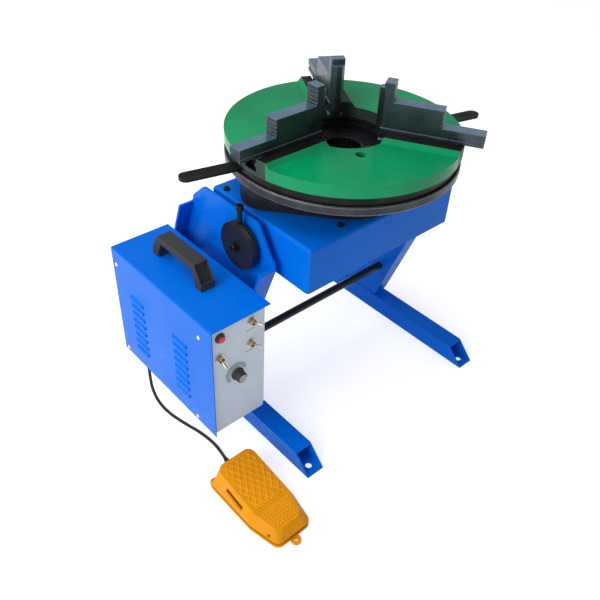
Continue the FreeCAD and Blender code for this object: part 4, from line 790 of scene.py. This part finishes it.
@dataclass
class Studio:
    """Camera, lamps, world and the pale floor."""

    lens: float = 41.38
    sensor: float = 36.0
    sight: float = 100.0
    camera_place: Point = (-0.7863, -0.7344, 1.0320)
    camera_heading: float = -43.9
    camera_tilt: float = 50.7
    camera_roll: float = 3.2
    floor_size: float = 40.0
    floor_grey: float = 0.86
    floor_glow: float = 0.60
    world_level: float = 0.36
    lamps: tuple[Lamp, ...] = (
        Lamp("sky_lamp", (-0.9, 0.9, 2.6), (0.0, 0.0, 0.4), 34.0, 2.2, 2.2, (0.94, 0.97, 1.0)),
        Lamp("left_lamp", (-2.4, -0.2, 1.5), (0.0, 0.0, 0.3), 36.0, 1.6, 1.6),
        Lamp("front_lamp", (0.2, -2.6, 1.3), (0.0, 0.0, 0.3), 3.0, 2.0, 1.6),
    )

    def place_camera(self) -> None:
        """Adds the camera and makes it the scene's own."""
        data = bpy.data.cameras.new("camera")
        data.lens = self.lens
        data.sensor_width = self.sensor
        data.clip_end = self.sight
        camera = placed("camera", data)
        turn = Matrix.Identity(4)
        for angle, axis in ((self.camera_heading, "Z"), (self.camera_tilt, "X"), (self.camera_roll, "Z")):
            turn = turn @ Matrix.Rotation(math.radians(angle), 4, axis)
        camera.matrix_world = Matrix.Translation(self.camera_place) @ turn
        bpy.context.scene.camera = camera

    def floor_material(self) -> bpy.types.Material:
        """Makes the floor's material, which keeps shadows and is white where it is lit.

        Returns:
            The material.
        """
        graph = Graph("studio_floor")
        path = graph.add("ShaderNodeLightPath").outputs
        seen = graph.math("MAXIMUM", path["Is Camera Ray"], path["Is Glossy Ray"])
        seen = graph.math("MAXIMUM", seen, path["Is Transmission Ray"])
        strength = graph.math("MULTIPLY", seen, self.floor_glow)
        return graph.surface(Base_Color=(self.floor_grey,) * 3, Roughness=0.9, Specular_IOR_Level=0.1,
                             Emission_Color=(1.0, 1.0, 1.0), Emission_Strength=strength)

    def build_floor(self) -> None:
        """Adds the floor."""
        form = bmesh.new()
        bmesh.ops.create_grid(form, x_segments=2, y_segments=2, size=self.floor_size / 2)
        mesh = mesh_from("studio_floor", form)
        mesh.materials.append(self.floor_material())
        floor = placed("studio_floor", mesh)

    def build_world(self) -> None:
        """Sets an even pale world that is white to the camera and through clear pieces."""
        world = bpy.data.worlds.new("studio")
        world.use_nodes = True
        bpy.context.scene.world = world
        tree = world.node_tree
        background = tree.nodes["Background"]
        background.inputs["Color"].default_value = (1.0, 1.0, 1.0, 1.0)
        path = tree.nodes.new("ShaderNodeLightPath")
        first = tree.nodes.new("ShaderNodeMath")
        first.operation = "MAXIMUM"
        tree.links.new(path.outputs["Is Camera Ray"], first.inputs[0])
        tree.links.new(path.outputs["Is Transmission Ray"], first.inputs[1])
        level = tree.nodes.new("ShaderNodeMapRange")
        level.inputs["To Min"].default_value = self.world_level
        level.inputs["To Max"].default_value = 1.0
        tree.links.new(first.outputs["Value"], level.inputs["Value"])
        tree.links.new(level.outputs["Result"], background.inputs["Strength"])

    def build(self) -> None:
        """Adds floor, world and lamps."""
        self.build_floor()
        self.build_world()
        for lamp in self.lamps:
            lamp.build()
        bpy.context.scene.view_settings.view_transform = "Standard"


# ------------------------------------------------------------------- pedal cable
@dataclass
class PedalCable:
    """Cable from the control box down to the floor and into the pedal."""

    radius: float = 0.003
    length: float = 0.308
    route: tuple[Point, ...] = (
        (-0.346, 0.128, 0.094), (-0.346, 0.128, 0.062), (-0.3455, 0.126, 0.028), (-0.345, 0.107, 0.0055),
        (-0.344, 0.072, 0.003), (-0.335, 0.030, 0.003), (-0.325, -0.006, 0.003), (-0.321, -0.044, 0.003),
        (-0.327, -0.076, 0.009), (-0.334, -0.103, 0.016),
    )
    boot_profile: Profile = (
        (0.0, 0.0), (0.0052, 0.0), (0.0052, 0.003), (0.0044, 0.0036), (0.0044, 0.0052), (0.0047, 0.0058),
        (0.0047, 0.0076), (0.0040, 0.0082), (0.0040, 0.0098), (0.0042, 0.0104), (0.0038, 0.014), (0.0, 0.014),
    )

    def build_cord(self) -> None:
        curve = bpy.data.curves.new("pedal_cable_run", "CURVE")
        curve.dimensions = "3D"
        spline = curve.splines.new("NURBS")
        spline.points.add(len(self.route) - 1)
        for point, place in zip(spline.points, self.route):
            point.co = (*place, 1.0)
        spline.order_u = 3
        spline.use_endpoint_u = True
        spline.resolution_u = 12
        curve.bevel_depth = self.radius
        curve.bevel_resolution = 6
        curve.use_fill_caps = True
        curve.materials.append(Finish.RUBBER.material())
        piece = placed("pedal_cable_run", curve)
        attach(piece, Body.STAND.value)
        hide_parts("pedal_cable")
        LOG.info("pedal_cable_run on %s", Body.STAND.value)

    def build_boot(self) -> None:
        """Adds the tapered rubber boot where the cable goes into the pedal."""
        end, before = Vector(self.route[-1]), Vector(self.route[-2])
        form = lathe(self.boot_profile, end, before - end, 32)
        add_piece("pedal_cable_boot", form, Finish.RUBBER, Body.STAND)

    def build(self) -> None:
        """Builds the cable and its boot."""
        self.build_cord()
        self.build_boot()
        wear(Finish.BLACK_PLASTIC, "cable_gland")


# ------------------------------------------------------------------------- stand
@dataclass
class Stand:
    """Tube feet, folded plates, cross rod and the tilt bearings."""

    edge: float = 0.0007
    weld_radius: float = 0.0032
    weld_inset: float = 0.0335
    weld_ends: Pair = (0.056, 0.146)

    def dress(self) -> None:
        """Gives the stand's nodes their finishes."""
        for node in ("left_foot_tube", "right_foot_tube", "left_support_plate", "right_support_plate"):
            soften(node, Finish.BLUE, Body.STAND, self.edge)
        wear(Finish.BLACK, "cross_rod", "tilt_clamp_ring", "right_shaft_collar")
        wear(Finish.STEEL, "left_bearing_flange", "right_bearing_flange")
        wear(Finish.OXIDE, "tilt_lock_screw")

    def weld_feet(self) -> None:
        """Lays the weld between each plate's foot and its tube."""
        for side, node in ((-1, "left_support_plate"), (1, "right_support_plate")):
            low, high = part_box(node)
            x = high.x - self.weld_inset if side > 0 else low.x + self.weld_inset
            form = bmesh.new()
            start, end = (Vector((x, y, low.z + self.weld_radius / 2)) for y in self.weld_ends)
            weld_bead(form, start, end, self.weld_radius)
            add_piece(node + "_weld", form, Finish.BLUE, Body.STAND)

    def build(self) -> None:
        """Dresses the stand and adds its welds."""
        self.dress()
        self.weld_feet()


# --------------------------------------------------------------------- tilt head
@dataclass
class TiltHead:
    """Tilt box, gear housing, trunnions and drive."""

    def dress(self) -> None:
        """Gives the tilt head's nodes their finishes."""
        soften("tilt_box_shell", Finish.BLUE, Body.TILT_HEAD)
        wear(Finish.BLUE, "tilt_box_cover")
        wear(Finish.BLACK, "gear_housing", "trunnion_end_plates")
        wear(Finish.STEEL, "left_trunnion", "right_trunnion", "bearing_sleeve", "drive_pinion")
        wear(Finish.OXIDE, "box_top_bolts", "trunnion_end_screws")
        wear(Finish.CHROME, "spindle_bearings")
        wear(Finish.MOTOR, "gearmotor")

    def build(self) -> None:
        """Dresses the tilt head."""
        self.dress()


# --------------------------------------------------------------------- turntable
@dataclass
class Turntable:
    """Spindle, disc, hub, green chuck and the scroll with its levers."""

    edge: float = 0.0005
    edge_angle: float = 30.0
    chuck_radius: float = 0.1990
    first_slot: float = 60.0
    slot_half_width: float = 0.0134
    slot_floor_z: float = 0.5178
    rail_half_width: float = 0.0322
    rail_z: float = 0.5398
    rail_end_half_width: float = 0.0330
    bore_radius: float = 0.0812

    def dress(self) -> None:
        """Gives the turntable's nodes their finishes."""
        wear(Finish.STEEL, "spindle_nut", "spindle_gear")
        wear(Finish.DISC, "table_disc")
        # The spindle and hub seen down the bore are black oxide, partly their finish and partly painted shade
        # of the deep bore.
        wear(Finish.OXIDE, "hollow_spindle", "chuck_hub", "spindle_screws", "chuck_screws")
        wear(Finish.OXIDE, "scroll_plate", "scroll_lever_a", "scroll_lever_b")

    def build_chuck(self) -> None:
        """Makes the green chuck, with bare rails and dark slots."""
        form = copied("chuck_body")
        round_over(form, self.edge, self.edge_angle)
        piece = add_piece("chuck_body_soft", form, Finish.GREEN, Body.TURNTABLE,
                          self.edge_angle)
        even_out(piece)
        for finish in (Finish.RAIL, Finish.OXIDE, Finish.SLOT):
            piece.data.materials.append(finish.material())
        for face in piece.data.polygons:
            face.material_index = self.chuck_finish(face.center, face.normal)
        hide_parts("chuck_body")

    def chuck_finish(self, centre: Vector, normal: Vector) -> int:
        """Which finish a face of the chuck has.

        Args:
            centre: The face's middle.
            normal: The way that it looks.

        Returns:
            0 for green paint, 1 for the bare rail tops, 2 for the black slots and 3
            for the bore and the ends of the rails.
        """
        radius = math.hypot(centre.x, centre.y)
        if radius < self.bore_radius and abs(normal.z) < 0.7:
            return 3
        for angle in round_range(3, math.radians(self.first_slot)):
            along = centre.x * math.cos(angle) + centre.y * math.sin(angle)
            across = abs(-centre.x * math.sin(angle) + centre.y * math.cos(angle))
            if along <= 0:
                continue
            if across < self.slot_half_width and radius < self.chuck_radius and centre.z > self.slot_floor_z:
                return 2
            if across < self.rail_end_half_width and radius > self.chuck_radius:
                return 3
            if across < self.rail_half_width and centre.z > self.rail_z:
                return 1
        return 0

    def build(self) -> None:
        """Dresses the turntable and makes its chuck."""
        self.dress()
        self.build_chuck()


@dataclass
class Jaws:
    """The three stepped jaws."""

    bodies: tuple[Body, ...] = (Body.JAW_1, Body.JAW_2, Body.JAW_3)
    edge: float = 0.0003
    edge_angle: float = 30.0
    level: float = 0.9

    def build(self) -> None:
        """Dresses each jaw, with a painted sky reflection on its upward faces."""
        for body in self.bodies:
            piece = soften(body.value, Finish.JAW, body, self.edge, self.edge_angle)
            piece.data.materials.append(Finish.JAW_TOP.material())
            for face in piece.data.polygons:
                # Faces that look up take the light bluish steel, a painted reflection of the sky.
                face.material_index = int(face.normal.z > self.level)


# ------------------------------------------------------------------- control box
@dataclass
class ControlBox:
    """Hood, chassis, panel, controls and handle."""

    panel_y: float = -0.0960
    print_height: float = 0.00012
    knob_x: float = -0.3070
    knob_z: float = 0.2240
    knob_front_y: float = -0.1145
    knob_edge: float = 0.00025
    knob_edge_angle: float = 40.0
    cap_profile: Profile = (
        (0.0, -0.0005), (0.0076, -0.0005), (0.0076, 0.0004), (0.0071, 0.0007), (0.0062, 0.0007),
        (0.0058, 0.0004), (0.0, 0.0004),
    )
    scale_radii: Pair = (0.0160, 0.0200)
    scale_start: float = 8.0
    scale_end: float = 226.0
    scale_ticks: int = 19
    line_width: float = 0.0009
    tick_share: float = 0.9
    arrow_radius: float = 0.0014
    arrows: tuple[tuple[float, float, float], ...] = ((-0.2870, -0.2710, 0.3010), (-0.2710, -0.2850, 0.2570))
    handle_place: Point = (-0.2955, 0.0590, 0.3380)
    handle_length: float = 0.1410
    handle_width: float = 0.0270
    handle_rise: float = 0.0440
    handle_bar_height: float = 0.0130
    handle_slope: float = 0.0185
    handle_foot: float = 0.0130
    handle_leg: float = 0.0180
    handle_wall: float = 0.0028
    handle_pocket: float = 0.0085
    handle_draft: float = 0.0004
    handle_hip: float = 0.7
    handle_edge: float = 0.0009
    handle_edge_angle: float = 25.0
    hood_end_x: float = -0.2425
    hood_overhang: float = 0.0025
    fold_angle: float = 14.0

    def dress(self) -> None:
        """Gives the control box's nodes their finishes."""
        wear(Finish.PANEL, "front_panel", "case_chassis")
        wear(Finish.BLACK, "case_mounts")
        wear(Finish.NICKEL, "toggle_switches", "forward_toggle", "mode_toggle", "power_toggle")
        wear(Finish.RED_PLASTIC, "button_cap")
        wear(Finish.BLACK_PLASTIC, "button_switch", "power_inlet", "speed_potentiometer")
        wear(Finish.CORE, "transformer")
        wear(Finish.BOARD, "control_board")
        soften("speed_knob", Finish.BLACK_PLASTIC, Body.SPEED_KNOB, self.knob_edge,
               self.knob_edge_angle)

    def build_hood(self) -> None:
        """Makes the hood, which is open on the side of the plates, and its screws."""
        form = copied("case_cover")
        cut = bmesh.ops.bisect_plane(form, geom=form.verts[:] + form.edges[:] + form.faces[:],
                                     plane_co=(self.hood_end_x, 0, 0), plane_no=(1, 0, 0), clear_outer=True)
        rim = [item for item in cut["geom_cut"] if isinstance(item, bmesh.types.BMEdge)]
        bmesh.ops.holes_fill(form, edges=rim)
        edge = [vert for vert in form.verts if vert.co.x > self.hood_end_x - 10 * MERGE_DISTANCE]
        bmesh.ops.translate(form, verts=edge, vec=(self.hood_overhang, 0, 0))
        piece = add_piece("case_hood", form, Finish.BLUE, Body.STAND, self.fold_angle)
        even_out(piece)
        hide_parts("case_cover")
        screws = copied("case_screws")
        loose = [vert for vert in screws.verts if vert.co.x > self.hood_end_x]
        bmesh.ops.delete(screws, geom=loose, context="VERTS")
        piece = add_piece("hood_screws", screws, Finish.ZINC, Body.STAND)
        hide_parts("case_screws")

    def build_handle(self) -> None:
        """Makes the moulded handle, with a deep pocket in each sloping end."""
        half, slope, foot = self.handle_length / 2, self.handle_slope, self.handle_foot
        rise, bar_height, leg = self.handle_rise, self.handle_bar_height, self.handle_leg
        right_half = [(half, 0.0), (half, foot), (half - slope, rise)]
        under = [(half - slope - leg / 2, rise - bar_height), (half - leg, foot * self.handle_hip),
                 (half - leg, 0.0)]
        outline = right_half + [(-y, z) for y, z in reversed(right_half)]
        outline += [(-y, z) for y, z in reversed(under)] + under
        x, y0, z0 = self.handle_place
        left = x - self.handle_width / 2
        form = bmesh.new()
        side = form.faces.new([form.verts.new((left, y0 + y, z0 + z)) for y, z in outline])
        pushed = bmesh.ops.extrude_face_region(form, geom=[side], use_keep_orig=True)
        verts = [item for item in pushed["geom"] if isinstance(item, bmesh.types.BMVert)]
        bmesh.ops.translate(form, verts=verts, vec=(self.handle_width, 0, 0))
        bmesh.ops.recalc_face_normals(form, faces=form.faces)
        ends = [face for face in form.faces if face.normal.z > 0.2 and abs(face.normal.y) > 0.5]
        for end in ends:
            bmesh.ops.inset_region(form, faces=[end], thickness=self.handle_wall)
            bmesh.ops.inset_region(form, faces=[end], thickness=self.handle_draft, depth=-self.handle_pocket)
        round_over(form, self.handle_edge, self.handle_edge_angle)
        piece = add_piece("moulded_handle", form, Finish.BLACK_PLASTIC, Body.STAND, 34.0)
        even_out(piece)
        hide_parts("carry_handle")

    def scale_arc(self, form: Form, radius: float) -> None:
        """Spins one printed arc of the speed scale round the knob.

        Args:
            form: The bmesh.
            radius: The arc's radius.
        """
        start = math.radians(self.scale_start)
        direction = Vector((math.cos(start), 0, math.sin(start)))
        centre = Vector((self.knob_x, self.panel_y, self.knob_z))
        half, lift = self.line_width / 2, -self.print_height
        corners = [centre + direction * (radius + out) + Vector((0, deep, 0))
                   for out, deep in ((-half, 0), (half, 0), (half, lift), (-half, lift))]
        face = form.faces.new([form.verts.new(corner) for corner in corners])
        sweep = math.radians(self.scale_end - self.scale_start)
        bmesh.ops.spin(form, geom=[face, *face.edges, *face.verts], cent=centre, axis=(0, -1, 0),
                       angle=sweep, steps=48)

    def arrow(self, form: Form, tail: Vector, tip: Vector) -> None:
        """Adds a printed arrow on the panel.

        Args:
            form: The bmesh.
            tail: Where its line starts.
            tip: The middle of its head.
        """
        out = Vector((0, -1, 0))
        bar(form, tail, tip, self.line_width, self.print_height, out)
        head = post(form, (0, 0, 0), self.arrow_radius, self.print_height, out, segments=3)
        along = tip - tail
        angle = math.atan2(along.z, along.x)
        bmesh.ops.rotate(form, verts=head, cent=(0, 0, 0), matrix=Matrix.Rotation(-angle, 3, "Y"))
        bmesh.ops.translate(form, verts=head, vec=tip)

    def build_prints(self) -> None:
        """Prints the speed scale and the two direction arrows on the panel."""
        form = bmesh.new()
        for radius in self.scale_radii:
            self.scale_arc(form, radius)
        centre = Vector((self.knob_x, self.panel_y, self.knob_z))
        inner, outer = self.scale_radii
        for index in range(self.scale_ticks):
            share = index / (self.scale_ticks - 1)
            angle = math.radians(self.scale_start + (self.scale_end - self.scale_start) * share)
            direction = Vector((math.cos(angle), 0, math.sin(angle)))
            bar(form, centre + direction * inner, centre + direction * outer,
                self.line_width * self.tick_share, self.print_height, Vector((0, -1, 0)))
        for tail_x, tip_x, z in self.arrows:
            self.arrow(form, Vector((tail_x, self.panel_y, z)), Vector((tip_x, self.panel_y, z)))
        bmesh.ops.recalc_face_normals(form, faces=form.faces)
        add_piece("panel_prints", form, Finish.PRINT, Body.STAND)

    def build_knob_cap(self) -> None:
        """Adds the turned metal cap in the knob's face."""
        form = lathe(self.cap_profile, (self.knob_x, self.knob_front_y, self.knob_z), (0, -1, 0), 48)
        add_piece("speed_knob_cap", form, Finish.STEEL, Body.SPEED_KNOB)

    def build(self) -> None:
        """Dresses the control box and adds its fine pieces."""
        self.dress()
        self.build_hood()
        self.build_handle()
        self.build_prints()
        self.build_knob_cap()


# -------------------------------------------------------------------- foot pedal
@dataclass
class FootPedal:
    """Yellow pedal with its cover, diamond tread, dots, a dark sheet of painted shade behind the side window,
    and spring.
    """

    centre_x: float = -0.3345
    top_rear_y: float = -0.1190
    top_rear_z: float = 0.0500
    slope: float = 0.022 / 0.152
    tread_half_width: float = 0.0325
    tread_rear_y: float = -0.1250
    tread_front_y: float = -0.2200
    diamond_width: float = 0.0124
    diamond_length: float = 0.0200
    rib_width: float = 0.0014
    rib_height: float = 0.0016
    rib_sink: float = 0.0003
    rib_edge: float = 0.00035
    end_rib_share: float = 0.8
    end_rib_gap: float = 0.0052
    dot_pitch: float = 0.0060
    dot_radius: float = 0.0014
    dot_rows: int = 7
    dots_start_y: float = -0.2330
    dots_half_width: float = 0.0290
    dots_taper: float = 0.27
    wall: float = 0.0025
    window_y: Pair = (-0.2005, -0.1565)
    window_drop: float = 0.0190
    window_height: float = 0.0090
    window_x: float = -0.0375
    # The dark sheet behind the side window, which paints the shade inside the pedal.
    shade_sheet_gap: float = 0.0028
    shade_sheet_thickness: float = 0.0008
    shade_sheet_edge: float = 0.0015
    pin_place: Pair = (-0.2620, 0.0160)
    pin_hole_radius: float = 0.0028
    cable_x: float = -0.3340
    notch_width: float = 0.0140
    notch_height: float = 0.0290
    ear_place: Pair = (-0.3710, -0.1130)
    ear_recess_radius: float = 0.0105
    spring_share: float = 0.82
    spring_foot_z: float = 0.0050

    def top(self, x: float, y: float, lift: float = 0.0) -> Vector:
        """A point on the sloping top, at an offset x from the middle."""
        z = self.top_rear_z - self.slope * (self.top_rear_y - y)
        return Vector((self.centre_x + x, y, z + lift))

    def normal(self) -> Vector:
        """The top's upward direction."""
        return Vector((0.0, -self.slope, 1.0)).normalized()

    def build_tread(self) -> None:
        """Lays two crossing sets of ribs, cut off at the edges of the tread."""
        form = bmesh.new()
        lean = self.diamond_width / self.diamond_length
        half, middle = self.tread_half_width, (self.tread_rear_y + self.tread_front_y) / 2
        reach = half + lean * (self.tread_rear_y - middle)
        count = int(reach / self.diamond_width)
        up = self.normal()
        for sign in (-1, 1):
            for index in range(-count, count + 1):
                offset = index * self.diamond_width
                ends = sorted((middle + (edge - offset) / (sign * lean)) for edge in (-half, half))
                y_low, y_high = max(ends[0], self.tread_front_y), min(ends[1], self.tread_rear_y)
                if y_high - y_low < self.rib_width:
                    continue
                low, high = (self.top(offset + sign * lean * (y - middle), y, -self.rib_sink)
                             for y in (y_low, y_high))
                bar(form, low, high, self.rib_width, self.rib_height, up)
        for y in (self.tread_rear_y, self.tread_front_y, self.tread_front_y - self.end_rib_gap):
            left, right = (self.top(x, y, -self.rib_sink) for x in (-half, half))
            bar(form, left, right, self.rib_width * self.end_rib_share, self.rib_height, up)
        round_over(form, self.rib_edge, 50.0, 1)
        add_piece("pedal_tread", form, Finish.RIB, Body.FOOT_PEDAL)

    def build_dots(self) -> None:
        """Sets the staggered grip dots on the pedal's narrow front."""
        form = bmesh.new()
        for row in range(self.dot_rows):
            y = self.dots_start_y - row * self.dot_pitch
            half = self.dots_half_width - self.dots_taper * (self.dots_start_y - y)
            count = int(2 * half / self.dot_pitch)
            for index in range(count + 1):
                x = (index - count / 2) * self.dot_pitch
                made = bmesh.ops.create_uvsphere(form, u_segments=10, v_segments=6, radius=self.dot_radius)
                moved(form, made, Matrix.Translation(self.top(x, y)))
        add_piece("pedal_dots", form, Finish.RIB, Body.FOOT_PEDAL, 60.0)

    def window_bar(self, x: float, width: float, spare: float) -> Form:
        """A bar along the side window, parallel to the sloping top.

        Args:
            x: Its middle, from the pedal's middle.
            width: Its size across the wall.
            spare: How far it runs past the ends, the foot and the top of the window.

        Returns:
            The bar.
        """
        low_y, high_y = self.window_y
        form = bmesh.new()
        start, end = (self.top(x, y) - self.normal() * (self.window_drop + spare)
                      for y in (low_y - spare, high_y + spare))
        bar(form, start, end, width, self.window_height + 2 * spare, self.normal())
        return form

    def build_cover(self) -> None:
        """Makes the hollow cover, with its side window, pin holes, cable notch and recess."""
        form = bmesh.new()
        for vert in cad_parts["pedal_cover"].data.vertices:
            form.verts.new(vert.co)
        hull = bmesh.ops.convex_hull(form, input=form.verts)
        spare = {item for key in ("geom_interior", "geom_unused") for item in hull[key]
                 if isinstance(item, bmesh.types.BMVert)}
        bmesh.ops.delete(form, geom=list(spare), context="VERTS")
        bmesh.ops.recalc_face_normals(form, faces=form.faces)
        low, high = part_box("pedal_cover")
        size = high - low
        inner = form.copy()
        shrink = (1 - 2 * self.wall / size.x, 1 - 2 * self.wall / size.y, 1.0)
        bmesh.ops.scale(inner, verts=inner.verts, vec=shrink, space=Matrix.Translation(-(low + high) / 2))
        bmesh.ops.translate(inner, verts=inner.verts, vec=(0, 0, -self.wall))
        pin, notch, recess = bmesh.new(), bmesh.new(), bmesh.new()
        post(pin, (low.x - self.wall, *self.pin_place), self.pin_hole_radius, size.x + 2 * self.wall,
             (1, 0, 0))
        start, end = (Vector((self.cable_x, high.y + walls * self.wall, 0)) for walls in (-4, 1))
        bar(notch, start, end, self.notch_width, self.notch_height)
        post(recess, (*self.ear_place, 0.0), self.ear_recess_radius, high.z + self.wall, (0, 0, 1))
        window = self.window_bar(self.window_x, 8 * self.wall, 0.0)
        form = carved(form, (inner, window, pin, notch, recess))
        piece = add_piece("pedal_cover_shell", form, Finish.YELLOW, Body.FOOT_PEDAL, 30.0)
        even_out(piece)
        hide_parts("pedal_cover")

    def build_shade_sheet(self) -> None:
        """Closes the side window from inside with a dark sheet along the wall, which paints the shade inside
        the pedal.
        """
        x = self.window_x + self.wall + self.shade_sheet_gap
        form = self.window_bar(x, self.shade_sheet_thickness, self.shade_sheet_edge)
        add_piece("pedal_window_shade_sheet", form, Finish.SHADE, Body.FOOT_PEDAL)

    def build_spring(self) -> None:
        """Makes the return spring, short enough for the pressed pedal."""
        form = copied("pedal_spring")
        foot = Matrix.Translation((0, 0, -self.spring_foot_z))
        bmesh.ops.scale(form, verts=form.verts, vec=(1, 1, self.spring_share), space=foot)
        piece = add_piece("pedal_return_spring", form, Finish.ZINC, Body.STAND, 60.0)
        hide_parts("pedal_spring")

    def dress(self) -> None:
        """Gives the pedal's nodes their finishes."""
        wear(Finish.YELLOW, "pedal_base")
        wear(Finish.BLACK_PLASTIC, "pedal_switch")
        wear(Finish.ZINC, "pedal_pin")

    def build(self) -> None:
        """Dresses the pedal and makes its own pieces."""
        self.dress()
        self.build_cover()
        self.build_spring()
        self.build_tread()
        self.build_dots()
        self.build_shade_sheet()


def main() -> None:
    """Builds the studio and every sub-assembly in order."""
    logging.basicConfig(level=logging.INFO, format="%(name)s: %(message)s")
    studio = Studio()
    studio.place_camera()
    PedalCable().build()
    for assembly in (Stand(), TiltHead(), Turntable(), Jaws(), ControlBox(), FootPedal()):
        assembly.build()
        LOG.info("%s built", type(assembly).__name__)
    studio.build()


if __name__ == "__main__":
    main()
